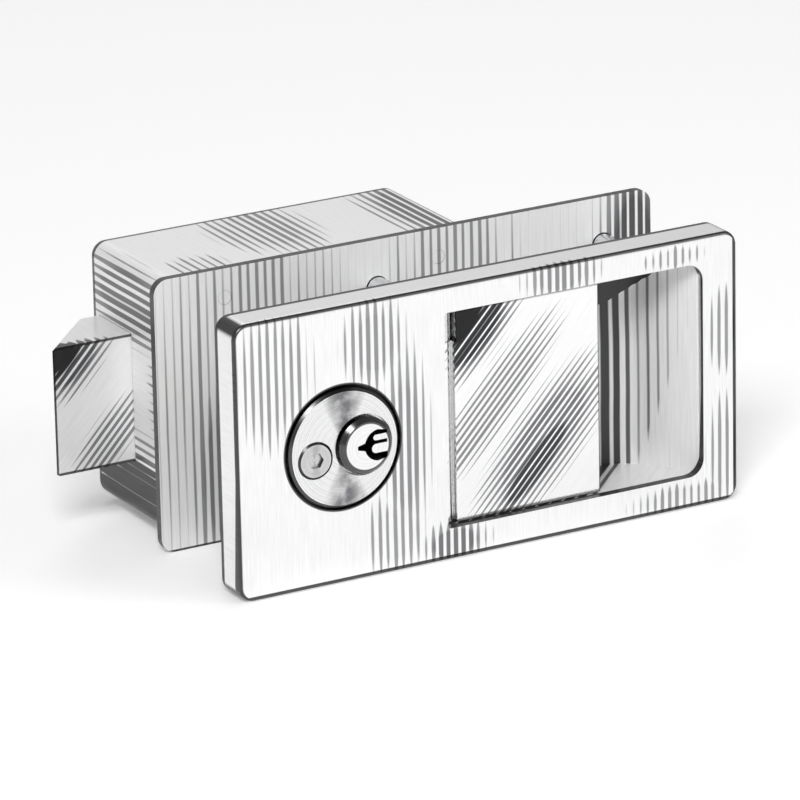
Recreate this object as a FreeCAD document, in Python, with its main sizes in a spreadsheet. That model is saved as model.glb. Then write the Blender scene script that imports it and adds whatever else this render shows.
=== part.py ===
import FreeCAD, Part
import math
import operator
import os
from types import SimpleNamespace
import Sketcher

# Recessed-paddle slam latch with a key cylinder, for a cabinet or locker door.
# Millimetres. Origin: centre of the face plate's rim, in the plane where it meets the door.
# +X is right as seen from in front of the door, +Y goes into the door and +Z is up.

doc = FreeCAD.newDocument("CabinetLock")

# Driving dimensions: name, value, what it is
SIZES = [
    ("windowWidth", 66.0, "hand window, width"),
    ("windowHeight", 50.0, "hand window, height"),
    ("windowRound", 4.0, "hand window, radius of the right corners"),
    ("windowSharp", 0.8, "hand window, radius of the left corners"),
    ("frameTop", 6.25, "face plate, from the window's top to the plate's top"),
    ("frameBottom", 7.25, "face plate, from the plate's bottom to the window's bottom"),
    ("frameRight", 9.0, "face plate, from the window's right edge to the plate's"),
    ("frameBridge", 25.9, "face plate, from the cylinder's axis to the window's left edge"),
    ("frameLeft", 26.1, "face plate, from its left edge to the cylinder's axis"),
    ("frontDepth", 8.5, "face plate, from its rim on the door to its front"),
    ("frontSheet", 2.2, "face plate, thickness of the front wall"),
    ("skirtWall", 2.2, "face plate, thickness of the rim wall"),
    ("frontCorner", 3.5, "face plate, corner radius"),
    ("frontRound", 0.9, "face plate, rounding of the front edge"),
    ("doorThickness", 28.6, "door between face plate and flange"),
    ("flangeThickness", 2.0, "back flange, thickness"),
    ("flangeCorner", 3.5, "back flange, corner radius"),
    ("caseInset", 4.0, "case, left wall in from the flange's left edge"),
    ("caseLength", 78.0, "case, length"),
    ("caseMargin", 1.75, "case, top and bottom inside the flange's edges"),
    ("caseWall", 1.5, "case, sheet thickness"),
    ("caseCorner", 3.5, "case, outer corner radius"),
    ("tabWidth", 12.0, "case tab under the flange, width"),
    ("tabReach", 7.0, "case tab, reach in from the wall"),
    ("tabLeft", 12.0, "case, middle of the left tabs from the left wall's inside"),
    ("tabRight", 9.0, "case, middle of the right tabs from the right wall's inside"),
    ("cupWall", 1.4, "pull cup, wall"),
    ("cupDepth", 18.0, "pull cup, inner depth from the plate's front"),
    ("cupSide", 1.0, "pull cup, left inner wall beyond the window's edge"),
    ("cupLip", 0.3, "pull cup, sweep ends this far inside the window's right edge"),
    ("sweepRadius", 12.0, "pull cup, radius where the back turns forward"),
    ("sweepAngle", 35.0, "pull cup, slope of the swept wall to the plate's normal"),
    ("rimLap", 1.1, "cup rim, left edge inside the collar's reach"),
    ("rimPlay", 0.55, "cup rim, gap to the face plate's rim wall"),
    ("rimCorner", 3.5, "cup rim, corner radius"),
    ("studLeft", 5.5, "plate studs, left pair out from the cup's inner wall"),
    ("studSpan", 24.0, "plate studs, height between the two in a pair"),
    ("studRadius", 1.25, "plate studs, radius"),
    ("studLength", 4.8, "plate studs, length behind the front wall"),
    ("nutRadius", 2.85, "stud nuts, radius at the points"),
    ("nutThickness", 2.0, "stud nuts, thickness"),
    ("postInset", 3.75, "posts, in from the window's left and right edges"),
    ("postRise", 5.0, "posts, in from the window's top and bottom edges"),
    ("postRadius", 2.6, "posts, radius"),
    ("postEntry", 1.5, "posts, depth into the flange's holes"),
    ("postStem", 2.0, "posts, radius of the stem in the boss"),
    ("stemLength", 4.2, "posts, length of that stem"),
    ("postTap", 11.0, "posts, depth of the tapped hole"),
    ("bossRadius", 4.75, "cup bosses, radius"),
    ("bossReach", 15.0, "cup bosses, end behind the plate's rim"),
    ("screwRadius", 1.7, "fixing screws, shank radius"),
    ("screwHead", 4.0, "fixing screws, head radius"),
    ("screwHeadHeight", 2.4, "fixing screws, head height"),
    ("driverSlot", 1.0, "driver slots in screw heads, width"),
    ("screwEngage", 7.0, "fixing screws, engagement in a post"),
    ("washerRadius", 5.0, "screw washers, outer radius"),
    ("washerThickness", 0.8, "screw washers, thickness"),
    ("spacerRadius", 4.5, "case spacers, outer radius"),
    ("fit", 0.05, "clearance of parts that fit or turn in each other, on the radius"),
    ("looseFit", 0.2, "clearance of screws and sliding parts, on each side"),
    ("faceClear", 0.7, "clearance round the cylinder in the face plate"),
    ("plugClear", 0.5, "clearance round the plug's head"),
    ("slideGap", 0.3, "gap between parts that slide past each other"),
    ("hingeInset", 1.7, "hinge axis, right of the window's left edge"),
    ("hingeDepth", 5.3, "hinge axis, behind the plate's front"),
    ("barrelRadius", 2.3, "paddle barrel, radius"),
    ("sleeveLength", 7.7, "hinge sleeve above the barrel, length"),
    ("hingePinRadius", 1.2, "hinge pin, radius"),
    ("hingePinEnd", 0.6, "hinge pin, end beyond the cup's wall"),
    ("paddleRecess", 2.3, "paddle, front behind the plate's front"),
    ("paddleThickness", 2.2, "paddle, thickness"),
    ("paddleStep", 1.9, "paddle, flat's left edge right of the hinge axis"),
    ("paddleWidth", 36.9, "paddle, width of the flat"),
    ("paddleGap", 0.4, "paddle, gap at the top and the bottom of the window"),
    ("paddleWeb", 3.3, "paddle, web from the barrel along the back of the flat"),
    ("paddleRound", 0.6, "paddle, rounding of the free edge"),
    ("leverLength", 46.0, "lever, hinge axis to roller axis"),
    ("leverThickness", 2.5, "lever, sheet thickness"),
    ("leverDrop", 2.75, "lever, middle of the arm below the height of the cylinder's axis"),
    ("leverNose", 2.8, "lever, radius round the roller pin"),
    ("footLeft", 5.5, "lever foot, left edge from the hinge axis"),
    ("footWidth", 14.0, "lever foot, width"),
    ("footHeight", 16.0, "lever foot, height"),
    ("elbowX", 7.0, "lever, elbow on the right from the hinge axis"),
    ("elbowY", 15.0, "lever, elbow behind the hinge axis"),
    ("slotLeft", 2.2, "cup slot for the lever, left end from the hinge axis"),
    ("slotRight", 15.4, "cup slot for the lever, right end from the hinge axis"),
    ("passLeft", 8.6, "flange slot for the lever, left end from the hinge axis"),
    ("passRight", 14.2, "flange slot for the lever, right end from the hinge axis"),
    ("slotMargin", 1.4, "lever slots, gap above and below the arm"),
    ("rootX", 2.3, "lever, root on the left from the hinge axis"),
    ("rootY", 7.0, "lever, root behind the hinge axis"),
    ("boltTravel", 16.0, "latch bolt, travel"),
    ("rollerRadius", 3.0, "roller, radius"),
    ("rollerHeight", 4.0, "roller, height"),
    ("rollerPinRadius", 1.5, "roller pin, radius"),
    ("rollerHead", 2.2, "roller pin, head radius"),
    ("rollerHeadHeight", 0.8, "roller pin, head height"),
    ("rivetRadius", 1.2, "lever rivets, radius"),
    ("rivetHead", 2.2, "lever rivets, head radius"),
    ("rivetHeadHeight", 1.0, "lever rivets, head height"),
    ("rivetSink", 1.4, "lever rivets, depth in the paddle"),
    ("rivetSpan", 7.0, "lever rivets, distance between the two"),
    ("rivetRise", 10.9, "lever rivets, above the foot's bottom"),
    ("cylinderDrop", 0.5, "cylinder, axis below the plate's middle"),
    ("cylinderRadius", 13.6, "cylinder, radius"),
    ("cylinderLength", 28.6, "cylinder, length"),
    ("cylinderProud", 0.8, "cylinder, face in front of the plate's front"),
    ("cylinderBevel", 0.6, "cylinder, bevel of the face"),
    ("collarRadius", 17.0, "cylinder collar, outer radius"),
    ("collarLength", 5.6, "cylinder collar, length"),
    ("setScrewRadius", 1.5, "set screw, radius"),
    ("plugOffset", 4.7, "plug, axis right of the cylinder's axis"),
    ("plugRadius", 6.1, "plug, radius"),
    ("plugHead", 6.55, "plug, radius of its head"),
    ("plugHeadSeat", 1.2, "plug, head sunk into the cylinder's face"),
    ("plugProud", 1.8, "plug, nose in front of the cylinder's face"),
    ("plugBevel", 0.9, "plug, bevel of the nose"),
    ("plugEnd", 0.3, "plug, end beyond the back of the cylinder"),
    ("keywayDepth", 26.5, "keyway, depth from the cylinder's face"),
    ("keyTip", 2.4, "keyway, tip left of the plug's axis"),
    ("keyThroat", 0.6, "keyway, throat left of the plug's axis"),
    ("keyBelly", 2.6, "keyway, belly right of the plug's axis"),
    ("keySide", 4.9, "keyway, side right of the plug's axis"),
    ("keyHalf", 3.6, "keyway, half of its height"),
    ("keyNarrow", 0.45, "keyway, half height of the tip"),
    ("keyRound", 3.7, "keyway, radius of the belly"),
    ("wardReach", 2.1, "keyway wards, round ends right of the plug's axis"),
    ("upperWard", 0.65, "keyway, upper ward, radius of its end"),
    ("upperWardRise", 1.75, "keyway, upper ward above the plug's axis"),
    ("lowerWard", 1.05, "keyway, lower ward, radius of its end"),
    ("lowerWardDrop", 0.75, "keyway, lower ward below the plug's axis"),
    ("pinCount", 5, "pin chambers, number"),
    ("pinFirst", 11.5, "pin chambers, first behind the cylinder's face"),
    ("pinPitch", 3.6, "pin chambers, pitch"),
    ("pinRadius", 1.3, "pins, radius"),
    ("pinTip", 1.9, "key pins, tip left of the plug's axis"),
    ("pinPoint", 1.0, "key pins, length of the point"),
    ("pinFlat", 0.4, "key pins, radius of the point's end"),
    ("driverLength", 5.0, "driver pins, length"),
    ("springWall", 0.5, "pin springs, thickness of the coil"),
    ("capDepth", 1.5, "chamber cap, thickness"),
    ("capWidth", 4.4, "chamber cap, width"),
    ("faceScrewOut", 7.3, "face screw, left of the cylinder's axis"),
    ("faceScrewDrop", 1.5, "face screw, below the cylinder's axis"),
    ("faceScrewHead", 4.25, "face screw, head radius"),
    ("faceScrewHeight", 1.0, "face screw, head height"),
    ("faceScrewSink", 0.7, "face screw, head sunk into the face"),
    ("faceScrewShank", 1.5, "face screw, shank radius"),
    ("faceScrewLength", 4.5, "face screw, shank length"),
    ("faceSocket", 1.9, "face screw, hexagon socket over its corners, half"),
    ("faceSocketDepth", 0.7, "face screw, hexagon socket, depth"),
    ("discRadius", 7.5, "tailpiece, radius of the disc on the plug"),
    ("discThickness", 2.0, "tailpiece, thickness of that disc"),
    ("shaftRadius", 2.5, "tailpiece, radius of the shaft"),
    ("crankRadius", 6.0, "tailpiece, crank pin from the axis"),
    ("crankAngle", 45.0, "tailpiece, crank below the level of the axis when locked"),
    ("crankThickness", 2.4, "tailpiece, thickness of the crank"),
    ("crankHub", 4.0, "tailpiece, radius of the crank's hub"),
    ("crankBoss", 3.0, "tailpiece, radius round the crank pin"),
    ("crankPin", 1.5, "tailpiece, crank pin radius"),
    ("tailScrewSpan", 8.8, "tail screws, distance between the two"),
    ("tailScrewRadius", 1.1, "tail screws, radius"),
    ("tailScrewHead", 1.9, "tail screws, head radius"),
    ("tailScrewDepth", 6.0, "tail screws, depth in the plug"),
    ("boltProtrusion", 19.5, "latch bolt, out of the case at its front face"),
    ("boltHeel", 5.3, "latch bolt, out of the case at its back face"),
    ("boltLength", 31.0, "latch bolt, length of the block"),
    ("boltThickness", 15.5, "latch bolt, thickness"),
    ("boltHeight", 30.0, "latch bolt, height"),
    ("boltDrop", 1.5, "latch bolt, middle below the plate's middle"),
    ("boltBreak", 0.5, "latch bolt, broken edges"),
    ("tailThickness", 2.5, "bolt tail, thickness"),
    ("tailLap", 8.0, "bolt tail, lap on the bolt"),
    ("tailReach", 46.0, "bolt tail, reach behind the bolt"),
    ("tailHeight", 11.0, "bolt tail, height of the narrow part"),
    ("tailWide", 20.0, "bolt tail, reach of the wide part behind the bolt"),
    ("tailBase", 7.5, "bolt tail, wide part below the bolt's middle"),
    ("tailRivetRadius", 1.5, "tail rivets, radius"),
    ("tailRivetSpan", 12.0, "tail rivets, distance between the two"),
    ("guideStudX", 2.0, "guide studs, left one in front of the bolt's rear"),
    ("guideStudPitch", 17.0, "guide studs, pitch"),
    ("guideStudRise", 11.0, "guide studs, above the cylinder's axis"),
    ("guideStudRadius", 1.75, "guide studs, radius"),
    ("guideStudHead", 2.6, "guide studs, head radius"),
    ("guideStudHeadHeight", 0.9, "guide studs, head height"),
    ("couplerThickness", 2.0, "coupler, thickness"),
    ("couplerLeft", 6.0, "coupler, left end in front of the bolt's rear"),
    ("couplerWide", 18.8, "coupler, wide part behind the bolt's rear"),
    ("couplerBase", 9.0, "coupler, bottom below the cylinder's axis"),
    ("couplerArm", 4.0, "coupler, top of the arm above the cylinder's axis"),
    ("couplerTop", 4.2, "coupler, top above the guide studs"),
    ("hookThickness", 2.5, "coupler hook, thickness"),
    ("hookGap", 0.15, "coupler hook, gap to the roller"),
    ("hookReach", 3.6, "coupler hook, reach in front of the roller's axis"),
    ("hookHeight", 6.0, "coupler hook, height"),
    ("springWire", 1.1, "bolt spring, wire"),
    ("springRadius", 4.0, "bolt spring, mean radius"),
    ("springLength", 38.0, "bolt spring, length with the bolt out"),
    ("rodRadius", 2.25, "spring rod, radius"),
    ("rodSink", 6.0, "spring rod, depth in the bolt"),
    ("rodEnd", 8.0, "spring rod, end beyond the spring"),
    ("guideBase", 3.0, "bolt guide, base behind the bolt"),
    ("guideCheek", 2.5, "bolt guide, thickness of a cheek"),
    ("guideLength", 24.0, "bolt guide, length"),
    ("guideReach", 12.0, "bolt guide, cheeks in front of the bolt's back face"),
    ("guideRivetSpan", 15.0, "bolt guide, distance between its rivets"),
    ("bracketThickness", 2.0, "rear guide, sheet thickness"),
    ("bracketHeight", 18.0, "rear guide, height"),
    ("bracketFoot", 12.0, "rear guide, length of the foot"),
    ("bracketRivetSpan", 9.0, "rear guide, distance between its rivets"),
    ("caseRivetRadius", 1.6, "case rivets, radius"),
    ("caseRivetHead", 3.0, "case rivets, head radius"),
    ("caseRivetHeight", 1.2, "case rivets, head height"),
    ("flushSink", 0.05, "flange rivets, end below the flange's front"),
    ("leafThickness", 0.5, "paddle leaf spring, thickness"),
    ("leafWidth", 5.0, "paddle leaf spring, width"),
    ("leafBend", 2.5, "paddle leaf spring, radius of the bend"),
    ("leafFoot", 12.0, "paddle leaf spring, length of the foot"),
    ("leafReach", 24.0, "paddle leaf spring, end behind the plate's rim"),
    ("leafClear", 4.2, "paddle leaf spring, bend right of the lever's elbow"),
    ("leafScrewPlace", 7.2, "leaf screw, from the end of the bend"),
    ("leafScrew", 1.2, "leaf screw, radius"),
    ("leafScrewHead", 2.2, "leaf screw, head radius"),
]


class Measure:
    """A size kept as a number and as the sheet expression that gives it."""

    def __init__(self, value, text):
        self.value = value
        self.text = text

    def __add__(self, other):
        return combine(self, "+", other)

    def __radd__(self, other):
        return combine(other, "+", self)

    def __sub__(self, other):
        return combine(self, "-", other)

    def __rsub__(self, other):
        return combine(other, "-", self)

    def __mul__(self, other):
        return combine(self, "*", other)

    def __rmul__(self, other):
        return combine(other, "*", self)

    def __truediv__(self, other):
        return combine(self, "/", other)

    def __neg__(self):
        return combine(0.0, "-", self)


SIGNS = {"+": operator.add, "-": operator.sub, "*": operator.mul, "/": operator.truediv}


def measure(given):
    if isinstance(given, Measure):
        return given
    return Measure(float(given), repr(float(given)))


def combine(left, sign, right):
    a = measure(left)
    b = measure(right)
    return Measure(SIGNS[sign](a.value, b.value), f"({a.text} {sign} {b.text})")


def root(m):
    return Measure(math.sqrt(m.value), f"sqrt({m.text})")


def sine(m):
    return Measure(math.sin(math.radians(m.value)), f"sin({m.text})")


def cosine(m):
    return Measure(math.cos(math.radians(m.value)), f"cos({m.text})")


sheet = doc.addObject("Spreadsheet::Sheet", "Sizes")
for row, (alias, value, note) in enumerate(SIZES, start=1):
    sheet.set(f"A{row}", alias)
    sheet.set(f"B{row}", str(value))
    sheet.setAlias(f"B{row}", alias)
    sheet.set(f"C{row}", note)
doc.recompute()
size = SimpleNamespace(**{
    alias: Measure(float(getattr(sheet, alias)), f"Sizes.{alias}") for alias, value, note in SIZES
})

# Which way a sketch plane's normal points along its world axis
PLANES = {"XY_Plane": 1.0, "XZ_Plane": -1.0, "YZ_Plane": 1.0}
ZERO = measure(0.0)
subparts = []


def bind(thing, path, m):
    thing.setExpression(path, measure(m).text)


def new_body(label):
    body = doc.addObject("PartDesign::Body", label)
    body.Label = label
    subparts.append(body)
    return body


def new_sketch(body, name, role, level):
    """A sketch parallel to an origin plane of the body, at a level along the world axis."""
    sketch = body.newObject("Sketcher::SketchObject", name)
    plane = next(f for f in body.Origin.OriginFeatures if f.Role == role)
    sketch.AttachmentSupport = (plane, "")
    sketch.MapMode = "FlatFace"
    bind(sketch, "AttachmentOffset.Base.z", PLANES[role] * measure(level))
    return sketch


def datum(sketch, kind, value, *where):
    index = sketch.addConstraint(Sketcher.Constraint(kind, *where, measure(value).value))
    bind(sketch, f"Constraints[{index}]", value)


def draw_outline(sketch, corners):
    """A closed outline. A corner is (x, y), or (x, y, radius) where an arc leads to it:
    a positive radius turns left on the way and a negative one turns right."""
    points = [FreeCAD.Vector(measure(c[0]).value, measure(c[1]).value, 0) for c in corners]
    ends = []
    for k, corner in enumerate(corners):
        start = points[k - 1]
        stop = points[k]
        if len(corner) == 2:
            ends.append((sketch.addGeometry(Part.LineSegment(start, stop)), 1, 2))
            continue
        radius = measure(corner[2]).value
        chord = stop - start
        side = FreeCAD.Vector(-chord.y, chord.x, 0).normalize()
        height = math.sqrt(max(radius ** 2 - (chord.Length / 2) ** 2, 0.0))
        centre = (start + stop) / 2 + side * math.copysign(height, radius)
        angles = [math.atan2(p.y - centre.y, p.x - centre.x) for p in (start, stop)]
        first, last = (0, 1) if radius > 0 else (1, 0)
        arc = Part.ArcOfCircle(
            Part.Circle(centre, FreeCAD.Vector(0, 0, 1), abs(radius)), angles[first], angles[last])
        ends.append((sketch.addGeometry(arc), first + 1, last + 1))
    for k, corner in enumerate(corners):
        piece, start_end, stop_end = ends[k]
        following = ends[(k + 1) % len(corners)]
        sketch.addConstraint(
            Sketcher.Constraint("Coincident", piece, stop_end, following[0], following[1]))
        datum(sketch, "DistanceX", corner[0], -1, 1, piece, stop_end)
        datum(sketch, "DistanceY", corner[1], -1, 1, piece, stop_end)
        if len(corner) == 3:
            radius = measure(corner[2])
            datum(sketch, "Radius", radius if radius.value > 0 else -radius, piece)


def draw_rectangle(sketch, left, right, low, high):
    draw_outline(sketch, [(left, low), (right, low), (right, high), (left, high)])


def draw_rounded(sketch, left, right, low, high, left_round, right_round):
    a = left_round
    b = right_round
    draw_outline(sketch, [
        (right - b, low), (right, low + b, b), (right, high - b), (right - b, high, b),
        (left + a, high), (left, high - a, a), (left, low + a), (left + a, low, a)])


def draw_slot(sketch, left, right, low, high):
    """A slot with round ends along its longer side; the sides are its overall limits."""
    if (right - left).value > (high - low).value:
        r = (high - low) / 2
        mid = (high + low) / 2
        draw_outline(sketch, [
            (right - r, low), (right, mid, r), (right - r, high, r),
            (left + r, high), (left, mid, r), (left + r, low, r)])
    else:
        r = (right - left) / 2
        mid = (right + left) / 2
        draw_outline(sketch, [
            (right, high - r), (mid, high, r), (left, high - r, r),
            (left, low + r), (mid, low, r), (right, low + r, r)])


def draw_circle(sketch, x, y, radius):
    centre = FreeCAD.Vector(measure(x).value, measure(y).value, 0)
    circle = sketch.addGeometry(
        Part.Circle(centre, FreeCAD.Vector(0, 0, 1), measure(radius).value))
    datum(sketch, "DistanceX", x, -1, 1, circle, 3)
    datum(sketch, "DistanceY", y, -1, 1, circle, 3)
    datum(sketch, "Radius", radius, circle)


def extrude(body, sketch, kind, length, role):
    """Pads or pockets a sketch along the positive world axis of its plane."""
    before = 0.0 if body.Tip is None else body.Shape.Volume
    feature = body.newObject(f"PartDesign::{kind}", f"{sketch.Name}{kind}")
    feature.Profile = sketch
    bind(feature, "Length", length)
    feature.Reversed = (PLANES[role] < 0) == (kind == "Pad")
    doc.recompute()
    change = body.Shape.Volume - before
    if (change <= 0) == (kind == "Pad"):
        raise RuntimeError(f"{feature.Name} of {body.Label} changes nothing")


def solid(body, name, role, start, stop, draw, *shape):
    """Adds material from start to stop along the plane's world axis."""
    sketch = new_sketch(body, name, role, start)
    draw(sketch, *shape)
    extrude(body, sketch, "Pad", measure(stop) - start, role)


def cut(body, name, role, start, stop, draw, *shape):
    """Removes material from start to stop along the plane's world axis."""
    sketch = new_sketch(body, name, role, start)
    draw(sketch, *shape)
    extrude(body, sketch, "Pocket", measure(stop) - start, role)


def draw_circles(sketch, places, radius):
    for x, y in places:
        draw_circle(sketch, x, y, radius)


def draw_rectangles(sketch, boxes):
    for box in boxes:
        draw_rectangle(sketch, *box)


def edge_names(shape, test):
    """The names of the edges whose ends and middle all pass a test."""
    names = []
    for number, edge in enumerate(shape.Edges, start=1):
        span = edge.ParameterRange
        spots = [edge.valueAt(span[0] + (span[1] - span[0]) * part) for part in (0, 0.5, 1)]
        if all(test(spot) for spot in spots):
            names.append(f"Edge{number}")
    return names


def dress(body, kind, name, m, test):
    """Rounds or bevels the edges of a body that pass a test."""
    base = body.Tip
    feature = body.newObject(f"PartDesign::{kind}", name)
    feature.Base = (base, edge_names(base.Shape, test))
    bind(feature, "Radius" if kind == "Fillet" else "Size", m)
    doc.recompute()


def near(a, m):
    return abs(a - measure(m).value) < 1e-4


TURNS = {
    "X": FreeCAD.Rotation(FreeCAD.Vector(0, 1, 0), 90),
    "Y": FreeCAD.Rotation(FreeCAD.Vector(1, 0, 0), -90),
    "Z": FreeCAD.Rotation(),
}


def place(thing, axis, x, y, z):
    thing.Placement = FreeCAD.Placement(FreeCAD.Vector(), TURNS[axis])
    bind(thing, "Placement.Base.x", x)
    bind(thing, "Placement.Base.y", y)
    bind(thing, "Placement.Base.z", z)
    return thing


def cylinder(name, axis, x, y, z, radius, length):
    thing = doc.addObject("Part::Cylinder", name)
    bind(thing, "Radius", radius)
    bind(thing, "Height", length)
    return place(thing, axis, x, y, z)


def cone(name, axis, x, y, z, base, top, length):
    thing = doc.addObject("Part::Cone", name)
    bind(thing, "Radius1", base)
    bind(thing, "Radius2", top)
    bind(thing, "Height", length)
    return place(thing, axis, x, y, z)


def box(name, x, y, z, length, width, height):
    thing = doc.addObject("Part::Box", name)
    bind(thing, "Length", length)
    bind(thing, "Width", width)
    bind(thing, "Height", height)
    return place(thing, "Z", x, y, z)


def join(name, things):
    thing = doc.addObject("Part::MultiFuse", name)
    thing.Shapes = things
    return thing


def take(name, base, tool):
    thing = doc.addObject("Part::Cut", name)
    thing.Base = base
    thing.Tool = tool
    return thing


def slotted(name, screw, x, y, z, radius, depth):
    """A screw with a driver slot across its head, whose outer face is at y."""
    slot = box(f"{name}Slot", x - radius, y - depth, z - size.driverSlot / 2, 2 * radius, depth,
               size.driverSlot)
    return take(name, screw, slot)


def subpart(thing, label):
    thing.Label = label
    subparts.append(thing)
    return thing


def group(label, things):
    """Identical small pieces kept in one node, each a solid of its own."""
    compound = doc.addObject("Part::Compound", label)
    compound.Links = things
    return subpart(compound, label)


# Places that several pieces share
front = -size.frontDepth
sheet_back = front + size.frontSheet
plate_length = size.frameLeft + size.frameBridge + size.windowWidth + size.frameRight
plate_height = size.frameBottom + size.windowHeight + size.frameTop
plate_right = plate_length / 2
plate_top = plate_height / 2
tray_right = plate_right - size.skirtWall
tray_top = plate_top - size.skirtWall
cylinder_x = size.frameLeft - plate_right
cylinder_z = -size.cylinderDrop
bolt_z = -size.boltDrop
flange_front = size.doorThickness
flange_back = flange_front + size.flangeThickness
window_left = cylinder_x + size.frameBridge
window_right = window_left + size.windowWidth
window_low = size.frameBottom - plate_top
window_high = window_low + size.windowHeight
hinge_x = window_left + size.hingeInset
hinge_y = front + size.hingeDepth
paddle_front = front + size.paddleRecess
paddle_back = paddle_front + size.paddleThickness
paddle_left = hinge_x + size.paddleStep
paddle_right = paddle_left + size.paddleWidth
paddle_low = window_low + size.paddleGap
paddle_high = window_high - size.paddleGap
barrel_top = window_high - size.sleeveLength - size.looseFit
half_travel = size.boltTravel / 2
roller_x = hinge_x - half_travel
roller_y = hinge_y + root(size.leverLength * size.leverLength - half_travel * half_travel)
arm_low = cylinder_z - size.leverDrop - size.leverThickness / 2
arm_high = arm_low + size.leverThickness
roller_low = arm_high + size.looseFit
roller_high = roller_low + size.rollerHeight
coupler_front = hinge_y + size.leverLength + size.rollerRadius + size.slideGap
coupler_back = coupler_front + size.couplerThickness
bolt_front = coupler_back + size.slideGap
tail_back = bolt_front + size.tailThickness
bolt_back = bolt_front + size.boltThickness
case_inner = bolt_back + size.guideBase + size.slideGap
case_back = case_inner + size.caseWall
case_left = -plate_right + size.caseInset
case_right = case_left + size.caseLength
case_top = plate_top - size.caseMargin
bolt_tip = case_left - size.boltProtrusion
bolt_heel = case_left - size.boltHeel
bolt_rear = bolt_tip + size.boltLength
bolt_low = bolt_z - size.boltHeight / 2
bolt_high = bolt_z + size.boltHeight / 2
cylinder_front = front - size.cylinderProud
cylinder_back = cylinder_front + size.cylinderLength
plug_x = cylinder_x + size.plugOffset
plug_z = cylinder_z
plug_back = cylinder_back + size.plugEnd
post_places = [
    (x, z) for x in (window_left + size.postInset, window_right - size.postInset)
    for z in (window_low + size.postRise, window_high - size.postRise)
]
cup_left = window_left - size.cupSide
cup_back = front + size.cupDepth
cup_outer = cup_back + size.cupWall
rim_back = sheet_back + size.cupWall
stud_places = [
    (x, (window_low + window_high) / 2 + level * size.studSpan / 2)
    for x in (cup_left - size.studLeft, (window_right + tray_right) / 2) for level in (-1, 1)
]
tab_places = [case_left + size.caseWall + size.tabLeft,
              case_right - size.caseWall - size.tabRight]


# Face plate: a shallow tray with the hand window, the cylinder's hole and four studs
def make_face_plate():
    body = new_body("face_plate")
    solid(body, "PlateOutline", "XZ_Plane", front, ZERO, draw_rounded, -plate_right, plate_right,
          -plate_top, plate_top, size.frontCorner, size.frontCorner)
    dress(body, "Fillet", "FrontRound", size.frontRound, lambda p: near(p.y, front))
    inner_round = size.frontCorner - size.skirtWall / 2
    cut(body, "TrayOutline", "XZ_Plane", sheet_back, ZERO, draw_rounded, -tray_right,
        tray_right, -tray_top, tray_top, inner_round, inner_round)
    cut(body, "WindowOutline", "XZ_Plane", front, sheet_back, draw_rounded, window_left,
        window_right, window_low, window_high, size.windowSharp, size.windowRound)
    cut(body, "CylinderHole", "XZ_Plane", front, sheet_back, draw_circle, cylinder_x,
        cylinder_z, size.cylinderRadius + size.faceClear)
    solid(body, "Studs", "XZ_Plane", sheet_back, sheet_back + size.studLength, draw_circles,
          stud_places, size.studRadius)


# Outline of the pull cup seen from above, at the inner face or out by the wall
def cup_outline(grow, start_y):
    slope = size.sweepAngle
    rise = cosine(slope)
    run = sine(slope)
    radius = size.sweepRadius + grow
    centre_y = cup_back - size.sweepRadius
    sweep_end = window_right - size.cupLip
    centre_x = sweep_end - size.sweepRadius * rise - (
        (centre_y + size.sweepRadius * run - sheet_back) * run / rise)
    turn_x = centre_x + radius * rise
    turn_y = centre_y + radius * run
    last_x = turn_x + (turn_y - start_y) * run / rise
    left = cup_left - grow
    back = cup_back + grow
    return [(left, start_y), (last_x, start_y), (turn_x, turn_y), (centre_x, back, radius),
            (left, back)]


# Pull cup: a rim behind the window, a swept pocket for the fingers and bosses for the posts
def make_pull_cup():
    body = new_body("pull_cup")
    wall = size.cupWall
    play = size.rimPlay
    solid(body, "RimOutline", "XZ_Plane", sheet_back, rim_back, draw_rounded,
          cylinder_x + size.collarRadius - size.rimLap, tray_right - play, -tray_top + play,
          tray_top - play, size.rimCorner, size.rimCorner)
    solid(body, "CupOutside", "XY_Plane", window_low - wall, window_high + wall, draw_outline,
          cup_outline(wall, sheet_back))
    solid(body, "LeftBosses", "XZ_Plane", cup_back, size.bossReach, draw_circles,
          post_places[:2], size.bossRadius)
    solid(body, "RightBosses", "XZ_Plane", rim_back, size.bossReach, draw_circles,
          post_places[2:], size.bossRadius)
    cut(body, "CupInside", "XY_Plane", window_low, window_high, draw_outline,
        cup_outline(ZERO, sheet_back))
    cut(body, "CollarRelief", "XZ_Plane", sheet_back, rim_back, draw_circle, cylinder_x,
        cylinder_z, size.collarRadius + size.slideGap)
    cut(body, "StudHoles", "XZ_Plane", sheet_back, rim_back, draw_circles, stud_places,
        size.studRadius + size.looseFit)
    cut(body, "StemHoles", "XZ_Plane", size.bossReach - size.stemLength - size.looseFit,
        size.bossReach, draw_circles, post_places, size.postStem + size.fit)
    cut(body, "LeverSlot", "XZ_Plane", cup_back, cup_back + wall, draw_slot,
        hinge_x - size.slotLeft, hinge_x + size.slotRight, arm_low - size.slotMargin,
        arm_high + size.slotMargin)
    cut(body, "HingeHoles", "XY_Plane", window_low - wall, window_high + wall, draw_circle,
        hinge_x, hinge_y, size.hingePinRadius + size.fit)
    cut(body, "LeafScrewHole", "XZ_Plane", cup_back, cup_back + wall, draw_circle, leaf_screw_x,
        leaf_z, size.leafScrew)


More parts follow.
